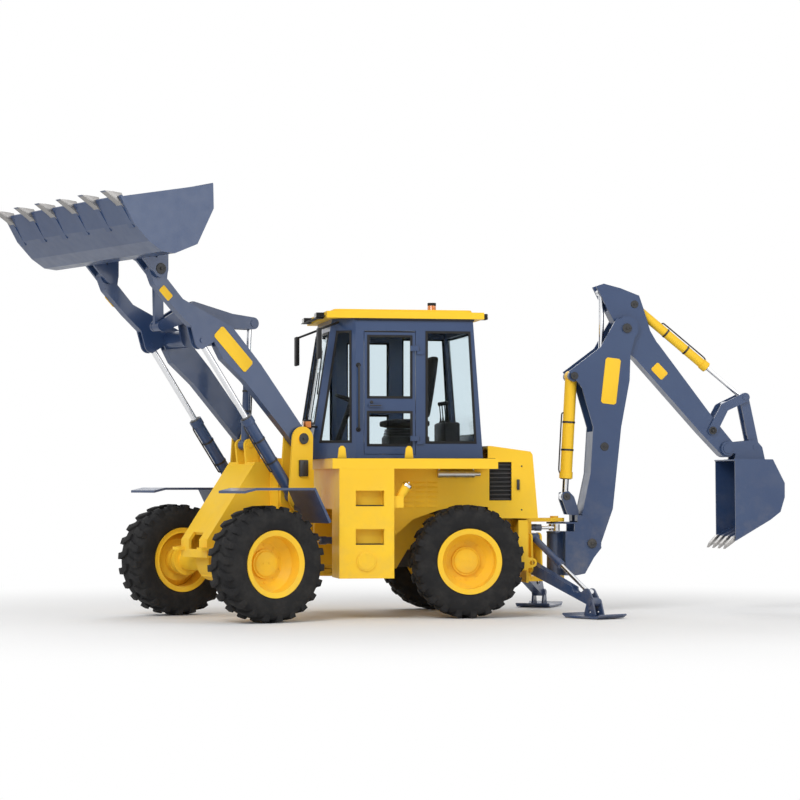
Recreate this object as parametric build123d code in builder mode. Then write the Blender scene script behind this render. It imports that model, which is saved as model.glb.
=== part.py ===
from build123d import *
from math import cos, hypot, radians, sin
import os

# Articulated backhoe loader, in millimetres.
# The pieces are drawn round the hinge between the two halves of the machine:
# x runs to the rear, y to the machine's right, z up from the ground.
# The front half is drawn straight and turned as it stands when it is finished.

os.makedirs("parts", exist_ok=True)

# Sizes of the whole machine
WHEELBASE = 2675
TRACK = 1806
AXLE_X = WHEELBASE / 2
AXLE_Z = 590
STEER_REST = 25.46
CENTRE_X = 742
CENTRE_Y = -464

# Fits and clearances
PIN_GAP = 0.5
ROD_GAP = 0.5
SIDE_GAP = 5
SEAT_GAP = 0.3

# Wheels and tyres
TYRE_RADIUS = 590
TREAD_RADIUS = 560
TYRE_HALF = 205
RIM_RADIUS = 305
RIM_FLANGE = 340
RIM_HALF = 185
SPINDLE_RADIUS = 70
HUB_RADIUS = 150
LUGS = 22
LUG_REACH = 200

# Seats of the frame on the axles
RAIL_SEAT = 700
NOSE_SEAT = 705
NOSE_Y = (225, 255)
INNER_TOWER = (405, 430)
OUTER_TOWER = (570, 595)
LIFT_ROD = 30
TILT_ROD = 26

# Hinge between the halves
HINGE_PIN = 40
HINGE_EAR = 95
UPPER_EAR = (1010, 1060)
LOWER_EAR = (450, 490)
STEER_BASE = (330, -300)
STEER_EYE = (-520, -290)
STEER_Z = 800

# Lashing eyes at the ends of the frame
LASH_HOLE = 28
LASH_REAR = (2110, 560)
LASH_REAR_Y = (590, 620)
LASH_FRONT = (-1695, 240)
LASH_FRONT_Z = (715, 745)

# Loader pins, in the straight front half
ARM_PIVOT = (-690, 1860)
BUCKET_PIN = (-2376, 3530)
LIFT_BASE = (-760, 1270)
TILT_BASE = (-1024, 1799)
BUCKET_LUG = (-2075, 3622)
ARM_Y = (450, 550)
ARM_MID = 500
ARM_LENGTH = hypot(BUCKET_PIN[0] - ARM_PIVOT[0], BUCKET_PIN[1] - ARM_PIVOT[1])
ARM_ALONG = ((BUCKET_PIN[0] - ARM_PIVOT[0]) / ARM_LENGTH, (BUCKET_PIN[1] - ARM_PIVOT[1]) / ARM_LENGTH)
LOADER_PIN = 35
CYLINDER_PIN = 28


def on_arm(along, above):
    """A point of the loader arm, from its pivot along it and square above it."""
    x = ARM_PIVOT[0] + along * ARM_ALONG[0] + above * ARM_ALONG[1]
    z = ARM_PIVOT[1] + along * ARM_ALONG[1] - above * ARM_ALONG[0]
    return (x, z)


LIFT_EYE = on_arm(1527, -138)
ROCKER_PIN = on_arm(1640, 220)
ROCKER_HORN = on_arm(1044, 662)
ROCKER_FOOT = on_arm(1777, -155)
LIFT_DRIFT = 100
ROCKER_YOKE = 97
LOADER_HALF = 1210
LOADER_PLATE = 24

# Rear frame, platform and body
RAIL_Y = (300, 340)
PLATFORM_X = (-105, 1626)
PLATFORM_Z = (1550, 1655)
PLATFORM_HALF = 1130
HOOD_X = 1626
TANK_X = (-35, 535)
TANK_Y = (640, 1130)
TANK_Z = (425, 1550)
BODY_HALF = 640

# Cab
CAB_HALF = 700
CAB_NOSE_HALF = 500
CAB_WALL = 40
CAB_LOW = 1655
CAB_TOP = 3120
DOOR_X = (290, 841)
DOOR_Z = (1700, 2990)
DOOR_GAP = 6
DOOR_HINGE = (858, -716)
DOOR_KNUCKLES = (1840, 2780)
GLASS = 6

# Hoe pins
SWING_X = 2500
SWING_PIN = 45
SWING_EAR = 110
BOOM_FOOT = (2874, 750)
BOOM_CYLINDER_LOW = (2620, 1255)
BOOM_CYLINDER_TOP = (2690, 2560)
DIPPER_PIN = (3275, 3080)
CROWD_BASE = (3025, 1796)
CROWD_EYE = (3027, 3483)
CURL_BASE = (3376, 3345)
HOE_HINGE = (4424, 1779)
LEVER_PIN = (4256, 1975)
LEVER_TOP = (4625, 2340)
HOE_LINK_PIN = (4743, 1795)
HOE_PIN = 35
BOOM_SKIN = (125, 150)
HOE_BUCKET_HALF = 355
SWING_BASE = (1990, 110)
SWING_EYE = (2500, 100)
SWING_Z = 921
SWING_LEVERS = ((862, 880), (962, 980))
SWING_SLOT_BACK = 2682
CURL_ROD = 24
CROWD_ROD = 30
BOOM_ROD = 35

# Stabilisers, each in an upright plane turned outward
LEG_TURN = 60
LEG_PIVOT = (2168, 420, 500)
LEG_CYLINDER_Z = 825
LEG_CYLINDER_EYE = (850, 260)
LEG_FOOT = (920, 163)

REAR = Location((-CENTRE_X, -CENTRE_Y, 0))
FRONT = REAR * Location((0, 0, 0), (0, 0, STEER_REST))


def finish(piece, label, place):
    """Names a finished piece, puts it in its place and writes it."""
    placed = piece.moved(place)
    placed.label = label
    export_step(placed, "parts/" + label + ".step")


def side_plane(y):
    """The upright plane at y, seen from the machine's left: x to the right, z up."""
    return Plane.XZ.offset(-y)


def slab(outline, y_low, y_high, mode=Mode.ADD):
    """A plate whose outline is given in x and z."""
    with BuildSketch(side_plane(y_high)) as face:
        with BuildLine():
            Polyline(*outline, close=True)
        make_face()
    extrude(face.sketch, amount=y_high - y_low, mode=mode)


def sheet(outline, z_low, z_high, mode=Mode.ADD):
    """A plate whose outline is given in x and y."""
    with BuildSketch(Plane.XY.offset(z_low)) as face:
        with BuildLine():
            Polyline(*outline, close=True)
        make_face()
    extrude(face.sketch, amount=z_high - z_low, mode=mode)


def disc(x, z, radius, y_low, y_high, mode=Mode.ADD):
    """A round boss, pin or hole across the machine."""
    with BuildSketch(side_plane(y_high)) as face:
        with Locations((x, z)):
            Circle(radius)
    extrude(face.sketch, amount=y_high - y_low, mode=mode)


def chain(circles, y_low, y_high, mode=Mode.ADD):
    """A plate that runs round a row of circles, each given as x, z, radius."""
    for first, second in zip(circles, circles[1:]):
        with BuildSketch(side_plane(y_high)) as face:
            for x, z, radius in (first, second):
                with Locations((x, z)):
                    Circle(radius)
            make_hull()
        extrude(face.sketch, amount=y_high - y_low, mode=mode)


def link_sheet(circles, z_low, z_high, mode=Mode.ADD):
    """A level plate that runs round a row of circles, each given as x, y, radius."""
    for first, second in zip(circles, circles[1:]):
        with BuildSketch(Plane.XY.offset(z_low)) as face:
            for x, y, radius in (first, second):
                with Locations((x, y)):
                    Circle(radius)
            make_hull()
        extrude(face.sketch, amount=z_high - z_low, mode=mode)


def post(x, y, radius, z_low, z_high, mode=Mode.ADD):
    """An upright round pin or hole."""
    with BuildSketch(Plane.XY.offset(z_low)) as face:
        with Locations((x, y)):
            Circle(radius)
    extrude(face.sketch, amount=z_high - z_low, mode=mode)


def block(x, y, z, mode=Mode.ADD):
    """A box between three pairs of limits."""
    with Locations(((x[0] + x[1]) / 2, (y[0] + y[1]) / 2, (z[0] + z[1]) / 2)):
        Box(x[1] - x[0], y[1] - y[0], z[1] - z[0], mode=mode)


def across(centre, pin, half, radius, mode=Mode.ADD):
    """A round piece along the direction of a pin, half its length to each side."""
    pin = Vector(*pin)
    with BuildSketch(Plane(origin=Vector(*centre) - pin * half, z_dir=pin)) as face:
        Circle(radius)
    extrude(face.sketch, amount=2 * half, mode=mode)


def along(start, end, first, last, radius, mode=Mode.ADD):
    """A round bar on the line from start to end, between two distances from start."""
    line = (Vector(*end) - Vector(*start)).normalized()
    with BuildSketch(Plane(origin=Vector(*start) + line * first, z_dir=line)) as face:
        Circle(radius)
    extrude(face.sketch, amount=last - first, mode=mode)


def barrel(start, end, pin, tube, length, rod, eye, half):
    """A cylinder's barrel from its base pin, with gland, ports and a bore for the rod."""
    along(start, end, eye * 0.6, length, tube)
    along(start, end, length - 70, length, tube + 8)
    across(start, pin, half, eye)
    along(start, end, eye + 40, length + 1, rod + ROD_GAP, mode=Mode.SUBTRACT)
    across(start, pin, half + 1, CYLINDER_PIN + PIN_GAP, mode=Mode.SUBTRACT)


def piston_rod(start, end, pin, inside, rod, eye, half):
    """A cylinder's rod, from inside its barrel to the eye, with the middle of its pin."""
    reach = (Vector(*end) - Vector(*start)).length
    along(start, end, inside, reach - eye * 0.5, rod)
    across(end, pin, half, eye)


def span(side, low, high):
    """Two distances from the middle, as limits in y on one side."""
    return (min(side * low, side * high), max(side * low, side * high))


ACROSS = (0, 1, 0)
UP = (0, 0, 1)

# Wheels

with BuildPart() as rim:
    with BuildSketch(Plane.XY) as section:
        with BuildLine():
            Polyline(
                (RIM_RADIUS - 20, -RIM_HALF + 12), (RIM_RADIUS, -RIM_HALF + 12), (RIM_FLANGE, -RIM_HALF),
                (RIM_FLANGE, -RIM_HALF + 13), (RIM_RADIUS, -RIM_HALF + 25), (RIM_RADIUS, RIM_HALF - 25),
                (RIM_FLANGE, RIM_HALF - 13), (RIM_FLANGE, RIM_HALF), (RIM_RADIUS - 20, RIM_HALF - 12),
                (RIM_RADIUS - 20, 30), (HUB_RADIUS + 60, -40), (HUB_RADIUS, -40), (HUB_RADIUS, -15),
                (SPINDLE_RADIUS + PIN_GAP, -15), (SPINDLE_RADIUS + PIN_GAP, -150), (HUB_RADIUS, -150),
                (HUB_RADIUS, -65), (HUB_RADIUS + 70, -65), (RIM_RADIUS - 20, 0), close=True)
        make_face()
    revolve(axis=Axis.Y)

with BuildPart() as tyre:
    with BuildSketch(Plane.XY):
        with BuildLine():
            Polyline(
                (RIM_RADIUS, -RIM_HALF + 26), (RIM_FLANGE, -RIM_HALF + 15), (RIM_FLANGE + 14, -RIM_HALF - 6),
                (430, -TYRE_HALF), (500, -TYRE_HALF + 6), (548, -TYRE_HALF + 40), (TREAD_RADIUS, 0),
                (548, TYRE_HALF - 40), (500, TYRE_HALF - 6), (430, TYRE_HALF),
                (RIM_FLANGE + 14, RIM_HALF + 6), (RIM_FLANGE, RIM_HALF - 15), (RIM_RADIUS, RIM_HALF - 26),
                close=True)
        make_face()
    revolve(axis=Axis.Y)
    for number in range(2 * LUGS):
        side = 1 if number % 2 else -1
        turn = radians(180 * number / LUGS)
        outward = Vector(cos(turn), 0, sin(turn))
        with BuildSketch(Plane(origin=outward * (TREAD_RADIUS - 45), x_dir=(0, 1, 0), z_dir=outward)):
            with BuildLine():
                Polyline((side * 10, -40), (side * 10, 20), (side * 110, 68), (side * LUG_REACH, 76),
                         (side * LUG_REACH, 10), (side * 120, 0), close=True)
            make_face()
        extrude(amount=TYRE_RADIUS - TREAD_RADIUS + 43)

for name, rear, side in (("front_left", False, -1), ("front_right", False, 1),
                         ("rear_left", True, -1), ("rear_right", True, 1)):
    spot = Location((AXLE_X if rear else -AXLE_X, side * TRACK / 2, AXLE_Z))
    half = REAR if rear else FRONT
    for kind, piece in (("rim", rim.part), ("tyre", tyre.part)):
        handed = piece if side > 0 else mirror(piece, about=Plane.XZ)
        finish(handed, kind + "_" + name, half * spot)


def axle(pad_y, pad_top):
    """A drive axle with its differential, saddle pads, hub flanges and spindles."""
    disc(0, 0, 105, -700, 700)
    along((0, 0, 0), (0, 1, 0), -120, 120, 200)
    block((-150, 150), (-110, 110), (-150, 150))
    for side in (-1, 1):
        disc(0, 0, 160, *span(side, 640, 700))
        disc(0, 0, SPINDLE_RADIUS, *span(side, 690, 840))
        block((-110, 110), span(side, pad_y[0] - 15, pad_y[1] + 15), (0, pad_top))


with BuildPart() as rear_axle:
    axle(RAIL_Y, RAIL_SEAT - AXLE_Z)
finish(rear_axle.part, "rear_axle", REAR * Location((AXLE_X, 0, AXLE_Z)))

with BuildPart() as front_axle:
    axle(NOSE_Y, NOSE_SEAT - AXLE_Z)
    along((100, 0, 0), (1000, 0, 0), 0, AXLE_X - 220, 45)
    along((100, 0, 0), (1000, 0, 0), AXLE_X - 260, AXLE_X - 210, 62)
finish(front_axle.part, "front_axle", FRONT * Location((-AXLE_X, 0, AXLE_Z)))

# Front half of the frame

with BuildPart() as front_chassis:
    for side in (-1, 1):
        slab([(-1640, 640), (-1640, 820), (-1070, 1600), (-880, 1600), (-860, 1150), (-330, 1110),
              (-330, 470), (-900, 470), (-1160, NOSE_SEAT), (-1490, NOSE_SEAT), (-1520, 640)],
             *span(side, *NOSE_Y))
        chain([(ARM_PIVOT[0], ARM_PIVOT[1], 125), (-720, 1250, 140)], *span(side, *INNER_TOWER))
        chain([(ARM_PIVOT[0], ARM_PIVOT[1], 125), (-720, 1250, 140)], *span(side, *OUTER_TOWER))
        block((-835, -560), span(side, NOSE_Y[1], OUTER_TOWER[1]), (1060, 1120))
        block((-580, -556), span(side, INNER_TOWER[0], OUTER_TOWER[1]), (1110, PLATFORM_Z[0] - 10))
        slab([(-1080, 1560), (-860, 1560), (-900, 1620), (-1060, 1620)], *span(side, 60, NOSE_Y[1]))
        chain([(TILT_BASE[0], TILT_BASE[1], 62), (-990, 1620, 75)], *span(side, 70, 100))
        disc(*ARM_PIVOT, LOADER_PIN + 25, *span(side, OUTER_TOWER[1], OUTER_TOWER[1] + 14))
        disc(*ARM_PIVOT, LOADER_PIN, *span(side, INNER_TOWER[0], OUTER_TOWER[1]))
        disc(*LIFT_BASE, CYLINDER_PIN, *span(side, INNER_TOWER[0], OUTER_TOWER[1]))
        disc(*LIFT_BASE, CYLINDER_PIN + 20, *span(side, OUTER_TOWER[1], OUTER_TOWER[1] + 12))
    block((-875, -600), (-INNER_TOWER[0], INNER_TOWER[0]), (1130, 1660))
    slab([(-1640, 820), (-1070, 1600), (-1040, 1585), (-1618, 795)], -NOSE_Y[0], NOSE_Y[0])
    block((-1640, -1610), (-NOSE_Y[0], NOSE_Y[0]), (640, 830))
    block((-1650, -1562), (-102, 102), (725, 895), mode=Mode.SUBTRACT)
    block((-1080, -860), (-NOSE_Y[0], NOSE_Y[0]), (1580, 1600))
    block((-900, -330), (-NOSE_Y[0], NOSE_Y[0]), (1085, 1109))
    block((-900, -330), (-NOSE_Y[0], NOSE_Y[0]), (470, 494))
    block((-354, -330), (-NOSE_Y[1], NOSE_Y[1]), (440, 1110))
    disc(*TILT_BASE, CYLINDER_PIN, -112, 112)
    for low, high in (UPPER_EAR, LOWER_EAR):
        link_sheet([(0, 0, HINGE_EAR), (-330, 0, 200)], low, high)
        post(0, 0, HINGE_PIN + PIN_GAP, low, high, mode=Mode.SUBTRACT)
    along((-900, 0, AXLE_Z), (0, 0, AXLE_Z), 0, 700, 80, mode=Mode.SUBTRACT)
    sheet([(-325, -320), (-325, -100), (-600, -100), (-600, -320)], STEER_Z - 80, STEER_Z + 80,
          mode=Mode.SUBTRACT)
    for low, high in ((STEER_Z - 65, STEER_Z - 40), (STEER_Z + 40, STEER_Z + 65)):
        sheet([(-620, -100), (-620, -215), (-560, -330), (-480, -330), (-460, -215), (-460, -100)], low, high)
    block((-640, -610), (-NOSE_Y[1], -90), (STEER_Z - 120, STEER_Z + 120))
    for side in (-1, 1):
        eye_y = side * LASH_FRONT[1]
        link_sheet([(LASH_FRONT[0], eye_y, 50), (-1600, eye_y, 58)], *LASH_FRONT_Z)
        post(LASH_FRONT[0], eye_y, LASH_HOLE, *LASH_FRONT_Z, mode=Mode.SUBTRACT)
finish(front_chassis.part, "front_chassis", FRONT)

with BuildPart() as front_fenders:
    for side in (-1, 1):
        slab([(-1737, 1300), (-1737, 1325), (-1600, 1354), (-890, 1354), (-700, 1010), (-725, 995),
              (-905, 1330), (-1600, 1330)], *span(side, 640, 1130))
        block((-800, -690), span(side, OUTER_TOWER[1] + SEAT_GAP, 700), (1120, 1180))
finish(front_fenders.part, "front_fenders", FRONT)

# Loader

with BuildPart() as loader_arms:
    for side in (-1, 1):
        chain([(*on_arm(0, 0), 95), (*on_arm(887, 65), 130), (*on_arm(1347, 55), 160),
               (*on_arm(1964, -78), 68), (*on_arm(2281, -72), 74), (*on_arm(ARM_LENGTH, 0), 105)],
              *span(side, *ARM_Y))
        chain([(*on_arm(1400, -20), 90), (*LIFT_EYE, 85), (*on_arm(1680, -60), 80)], *span(side, *ARM_Y))
        disc(*LIFT_EYE, LIFT_DRIFT + 80, *span(side, ARM_MID - 30, ARM_MID + 30), mode=Mode.SUBTRACT)
        slab([on_arm(1422, -41), on_arm(1461, -188), on_arm(1044, -300), on_arm(1005, -153)],
             *span(side, ARM_Y[0] - 1, ARM_Y[1] + 1), mode=Mode.SUBTRACT)
        disc(*ARM_PIVOT, 80, *span(side, INNER_TOWER[1] + SIDE_GAP, OUTER_TOWER[0] - SIDE_GAP))
        disc(*ARM_PIVOT, LOADER_PIN + PIN_GAP, *span(side, 420, 580), mode=Mode.SUBTRACT)
        disc(*BUCKET_PIN, LOADER_PIN + PIN_GAP, *span(side, 420, 580), mode=Mode.SUBTRACT)
        chain([(*on_arm(1400, 60), 90), (*ROCKER_PIN, 85)], *span(side, ROCKER_YOKE, ROCKER_YOKE + 25))
        disc(*LIFT_EYE, CYLINDER_PIN, *span(side, ARM_Y[0] - 10, ARM_MID - 30))
        disc(*LIFT_EYE, CYLINDER_PIN, *span(side, ARM_MID + 30, ARM_Y[1] + 10))
        disc(*on_arm(1400, 60), 90, *span(side, ROCKER_YOKE, ARM_Y[0]))
    disc(*ROCKER_PIN, LOADER_PIN, -130, 130)
finish(loader_arms.part, "loader_arms", FRONT)

with BuildPart() as lift_barrels:
    for side in (-1, 1):
        barrel((LIFT_BASE[0], side * ARM_MID, LIFT_BASE[1]), (LIFT_EYE[0], side * ARM_MID, LIFT_EYE[1]),
               ACROSS, 60, 975, LIFT_ROD, 62, 55)
finish(lift_barrels.part, "lift_barrels", FRONT)

with BuildPart() as lift_rods:
    for side in (-1, 1):
        piston_rod((LIFT_BASE[0], side * ARM_MID, LIFT_BASE[1]), (LIFT_EYE[0], side * ARM_MID, LIFT_EYE[1]),
                   ACROSS, 945, LIFT_ROD, 60, 24)
finish(lift_rods.part, "lift_rods", FRONT)

with BuildPart() as bucket_rocker:
    for side in (-1, 1):
        chain([(*ROCKER_HORN, 62), (*on_arm(1250, 480), 75), (*ROCKER_PIN, 93),
               (*ROCKER_FOOT, 54)], *span(side, 55, 85))
    disc(*ROCKER_PIN, 93, -85, 85)
    disc(*ROCKER_PIN, LOADER_PIN + PIN_GAP, -90, 90, mode=Mode.SUBTRACT)
    for side in (-1, 1):
        disc(*ROCKER_HORN, 38, *span(side, 80, 92))
        disc(*ROCKER_FOOT, LOADER_PIN, *span(side, 0, 92))
finish(bucket_rocker.part, "bucket_rocker", FRONT)

with BuildPart() as bucket_link:
    chain([(*ROCKER_FOOT, 52), (*BUCKET_LUG, 52)], -22, 22)
    disc(*ROCKER_FOOT, 52, -50, 50)
    disc(*BUCKET_LUG, 52, -50, 50)
    disc(*ROCKER_FOOT, LOADER_PIN + PIN_GAP, -60, 60, mode=Mode.SUBTRACT)
finish(bucket_link.part, "bucket_link", FRONT)

with BuildPart() as tilt_barrel:
    barrel((TILT_BASE[0], 0, TILT_BASE[1]), (ROCKER_HORN[0], 0, ROCKER_HORN[1]), ACROSS, 42, 780,
           TILT_ROD, 55, 50)
finish(tilt_barrel.part, "tilt_barrel", FRONT)

with BuildPart() as tilt_rod:
    piston_rod((TILT_BASE[0], 0, TILT_BASE[1]), (ROCKER_HORN[0], 0, ROCKER_HORN[1]), ACROSS, 500,
               TILT_ROD, 50, 48)
finish(tilt_rod.part, "tilt_rod", FRONT)

BUCKET_BACK = [(-3170, 4138), (-3028, 3899), (-2863, 3736), (-2719, 3648), (-2586, 3636),
               (-2338, 3737), (-2156, 4089), (-2162, 4323)]

with BuildPart() as loader_bucket:
    chain([(x, z, LOADER_PLATE / 2) for x, z in BUCKET_BACK], -LOADER_HALF, LOADER_HALF)
    for side in (-1, 1):
        slab(BUCKET_BACK, *span(side, LOADER_HALF - LOADER_PLATE, LOADER_HALF))
        for low in (ARM_Y[0] - 40, ARM_Y[1] + SIDE_GAP):
            chain([(*BUCKET_PIN, 85), (-2330, 3745, 40)], *span(side, low, low + 35))
            chain([(*BUCKET_PIN, 85), (-2560, 3650, 30)], *span(side, low, low + 35))
        disc(*BUCKET_PIN, LOADER_PIN, *span(side, ARM_Y[0] - 40, ARM_Y[1] + 40))
        chain([(*BUCKET_LUG, 54), (-2225, 3960, 45)], *span(side, 58, 90))
        chain([(*BUCKET_LUG, 54), (-2350, 3740, 45)], *span(side, 58, 90))
        disc(*BUCKET_LUG, LOADER_PIN, *span(side, 58, 97))
    for number in range(6):
        middle = -LOADER_HALF + 90 + number * (2 * LOADER_HALF - 180) / 5
        slab([(-3333, 4184), (-3150, 4170), (-3000, 3930), (-2960, 3890), (-3010, 3850), (-3165, 4080)],
             middle - 45, middle + 45)
finish(loader_bucket.part, "loader_bucket", FRONT)

# Rear frame

with BuildPart() as rear_chassis:
    for side in (-1, 1):
        slab([(380, 410), (380, 1120), (2060, 1010), (2060, 480), (1960, 480), (1860, RAIL_SEAT),
              (820, RAIL_SEAT), (700, 500)], *span(side, *RAIL_Y))
    block((380, 520), (-RAIL_Y[0], RAIL_Y[0]), (410, 1120))
    block((1960, 2060), (-620, 620), (480, 1010))
    for side in (-1, 1):
        block((420, 520), span(side, 200, RAIL_Y[1]), (1100, PLATFORM_Z[0] - SEAT_GAP))
        block((1560, 1610), span(side, *RAIL_Y), (1030, PLATFORM_Z[0] - SEAT_GAP))
    for side in (-1, 1):
        link_sheet([(*SWING_BASE[:1], side * SWING_BASE[1], 62), (2100, side * SWING_BASE[1], 62)],
                   SWING_Z - 45, SWING_Z + 45, mode=Mode.SUBTRACT)
        across((SWING_BASE[0], side * SWING_BASE[1], SWING_Z), UP, 60, CYLINDER_PIN)
    block((600, 680), (-RAIL_Y[0], RAIL_Y[0]), (900, 1000))
    for low, high in ((UPPER_EAR[0] - 36, UPPER_EAR[0] - 6), (UPPER_EAR[1] + 6, UPPER_EAR[1] + 40),
                      (LOWER_EAR[0] - 36, LOWER_EAR[0] - 6), (LOWER_EAR[1] + 6, LOWER_EAR[1] + 36)):
        link_sheet([(0, 0, HINGE_EAR), (390, 0, 200)], low, high)
    for low, high in ((UPPER_EAR[0] - 36, UPPER_EAR[1] + 40), (LOWER_EAR[0] - 36, LOWER_EAR[1] + 36)):
        post(0, 0, HINGE_PIN, low, high)
    for low, high in ((STEER_Z - 65, STEER_Z - 40), (STEER_Z + 40, STEER_Z + 65)):
        link_sheet([(*STEER_BASE, 55), (420, STEER_BASE[1], 80)], low, high)
    post(*STEER_BASE, CYLINDER_PIN, STEER_Z - 65, STEER_Z + 65)
    for side in (-1, 1):
        chain([(LASH_REAR[0], LASH_REAR[1], 50), (2050, LASH_REAR[1], 60)], *span(side, *LASH_REAR_Y))
        disc(*LASH_REAR, LASH_HOLE, *span(side, LASH_REAR_Y[0] - 1, LASH_REAR_Y[1] + 1), mode=Mode.SUBTRACT)
    along((370, 0, AXLE_Z), (600, 0, AXLE_Z), 0, 200, 80, mode=Mode.SUBTRACT)
finish(rear_chassis.part, "rear_chassis", REAR)

with BuildPart() as powertrain:
    block((1420, 1920), (-280, 280), (805, 1500))
    block((620, 1080), (-220, 220), (730, 860))
    block((700, 1040), (-200, 200), (510, 1180))
    block((1030, 1440), (-150, 150), (860, 1100))
    for side in (-1, 1):
        for low, high in ((700, 800), (940, 1040), (1500, 1580), (1820, 1900)):
            block((low, high), span(side, 190, RAIL_Y[0] - SEAT_GAP), (830, 900))
    along((0, 0, AXLE_Z), (1, 0, AXLE_Z), 140, 710, 45)
    along((0, 0, AXLE_Z), (1, 0, AXLE_Z), 1030, AXLE_X - 202, 45)
finish(powertrain.part, "powertrain", REAR)

with BuildPart() as platform:
    block((PLATFORM_X[0], HOOD_X - SEAT_GAP), (-PLATFORM_HALF, PLATFORM_HALF), PLATFORM_Z)
    block((-35, -15), (-TANK_Y[1], TANK_Y[1]), (1130, PLATFORM_Z[0]))
finish(platform.part, "platform", REAR)

with BuildPart() as side_tanks:
    for side in (-1, 1):
        block((TANK_X[0], TANK_X[1]), span(side, TANK_Y[0], TANK_Y[1]), (TANK_Z[0], 1130 - SEAT_GAP))
        block((TANK_X[0] + 20 + SEAT_GAP, TANK_X[1]), span(side, TANK_Y[0], TANK_Y[1]),
              (1100, TANK_Z[1] - SEAT_GAP))
        for step in (1225, 830):
            block((135, 430), span(side, TANK_Y[1] - 110, TANK_Y[1] + 1), (step - 60, step + 100),
                  mode=Mode.SUBTRACT)
        disc(245, 600, 100, *span(side, TANK_Y[1] - 5, TANK_Y[1] + 14))
        along((600, side * 1020, 1240), (700, side * 1040, 1400), 0, 160, 45)
        block((530, 640), span(side, 950, 1090), (1150, 1270))
finish(side_tanks.part, "side_tanks", REAR)

with BuildPart() as body_panels:
    for side in (-1, 1):
        slab([(540, 1130), (640, 860), (820, 1020), (1100, 1120), (1337, 1170), (HOOD_X - SEAT_GAP, 1150),
              (HOOD_X - SEAT_GAP, PLATFORM_Z[0] - SEAT_GAP), (540, PLATFORM_Z[0] - SEAT_GAP)], *span(side, BODY_HALF - 20, BODY_HALF))
        slab([(HOOD_X - SEAT_GAP, 1150), (1337, 1170), (1337, 1190), (HOOD_X - SEAT_GAP, 1170)], *span(side, 345, BODY_HALF))
finish(body_panels.part, "body_panels", REAR)

HOOD = [(HOOD_X, 1030), (2168, 1030), (2109, 1700), (2085, 1735), (1660, 1793), (HOOD_X, 1793)]

with BuildPart() as hood:
    slab(HOOD, -BODY_HALF, BODY_HALF)
    slab([(1610, 1000), (2142, 1000), (2082, 1690), (1660, 1762), (1610, 1762)],
         -BODY_HALF + 25, BODY_HALF - 25, mode=Mode.SUBTRACT)
    for side in (-1, 1):
        block((1640, 1881), span(side, BODY_HALF - 40, BODY_HALF + 1), (1218, 1624), mode=Mode.SUBTRACT)
    block((2000, 2200), (-420, 420), (1150, 1600), mode=Mode.SUBTRACT)
finish(hood.part, "hood", REAR)

with BuildPart() as muffler:
    along((1075, -695, 1497), (1471, -695, 1497), 0, 396, 38)
    block((1120, 1150), (-700, -640.5), (1470, 1500))
    block((1400, 1430), (-700, -640.5), (1470, 1500))
finish(muffler.part, "muffler", REAR)

# Cab


def cab_outline(z, inset):
    """The cab's plan at a height: nose, angled corners, sides and back."""
    rise = (z - CAB_LOW) / (CAB_TOP - CAB_LOW)
    nose = -250 + 235 * rise
    back = 1560 - 110 * rise
    with BuildSketch(Plane.XY.offset(z), mode=Mode.PRIVATE) as plan:
        with BuildLine():
            Polyline((nose, -CAB_NOSE_HALF), (nose, CAB_NOSE_HALF), (205, CAB_HALF), (back, CAB_HALF),
                     (back, -CAB_HALF), (205, -CAB_HALF), close=True)
        make_face()
        if inset:
            offset(amount=-inset, kind=Kind.INTERSECTION)
    return plan.sketch


def cab_block(inset, mode=Mode.ADD):
    """The cab as a solid, drawn in from its outside by an even amount."""
    loft([cab_outline(CAB_LOW, inset), cab_outline(CAB_TOP, inset)], ruled=True, mode=mode)


SIDE_WINDOWS = (
    [(-150, 1830), (165, 1830), (165, 2985), (25, 2985)],
    [(947, 1822), (1487, 1822), (1420, 2985), (947, 2985)],
)
DOOR_WINDOWS = (
    [(330, 2290), (800, 2290), (800, 2940), (330, 2940)],
    [(330, 1790), (800, 1790), (800, 2150), (330, 2150)],
)


def cut_windows(mode):
    """The cab's window openings, through both sides, the nose and the back."""
    for outline in SIDE_WINDOWS:
        slab(outline, -CAB_HALF - 50, -CAB_NOSE_HALF + 60, mode=mode)
        slab(outline, CAB_NOSE_HALF - 60, CAB_HALF + 50, mode=mode)
    for outline in DOOR_WINDOWS:
        slab(outline, CAB_HALF - 100, CAB_HALF + 50, mode=mode)


with BuildPart() as cab_shell:
    cab_block(0)
    cab_block(CAB_WALL, mode=Mode.SUBTRACT)
    cut_windows(Mode.SUBTRACT)
    block((-400, 60), (-CAB_NOSE_HALF + 45, CAB_NOSE_HALF - 45), (2020, 2985), mode=Mode.SUBTRACT)
    block((1380, 1600), (-CAB_HALF + 80, CAB_HALF - 80), (1900, 2985), mode=Mode.SUBTRACT)
    block(DOOR_X, (-CAB_HALF - 20, -CAB_HALF + 100), DOOR_Z, mode=Mode.SUBTRACT)
    for low in DOOR_KNUCKLES:
        block((DOOR_HINGE[0] - 8, DOOR_HINGE[0] + 60), (DOOR_HINGE[1] - 8, -CAB_HALF + 5), (low - 32, low))
        along((*DOOR_HINGE, low - 32), (*DOOR_HINGE, low + 100), 0, 92, 8)
finish(cab_shell.part, "cab_shell", REAR)

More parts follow.
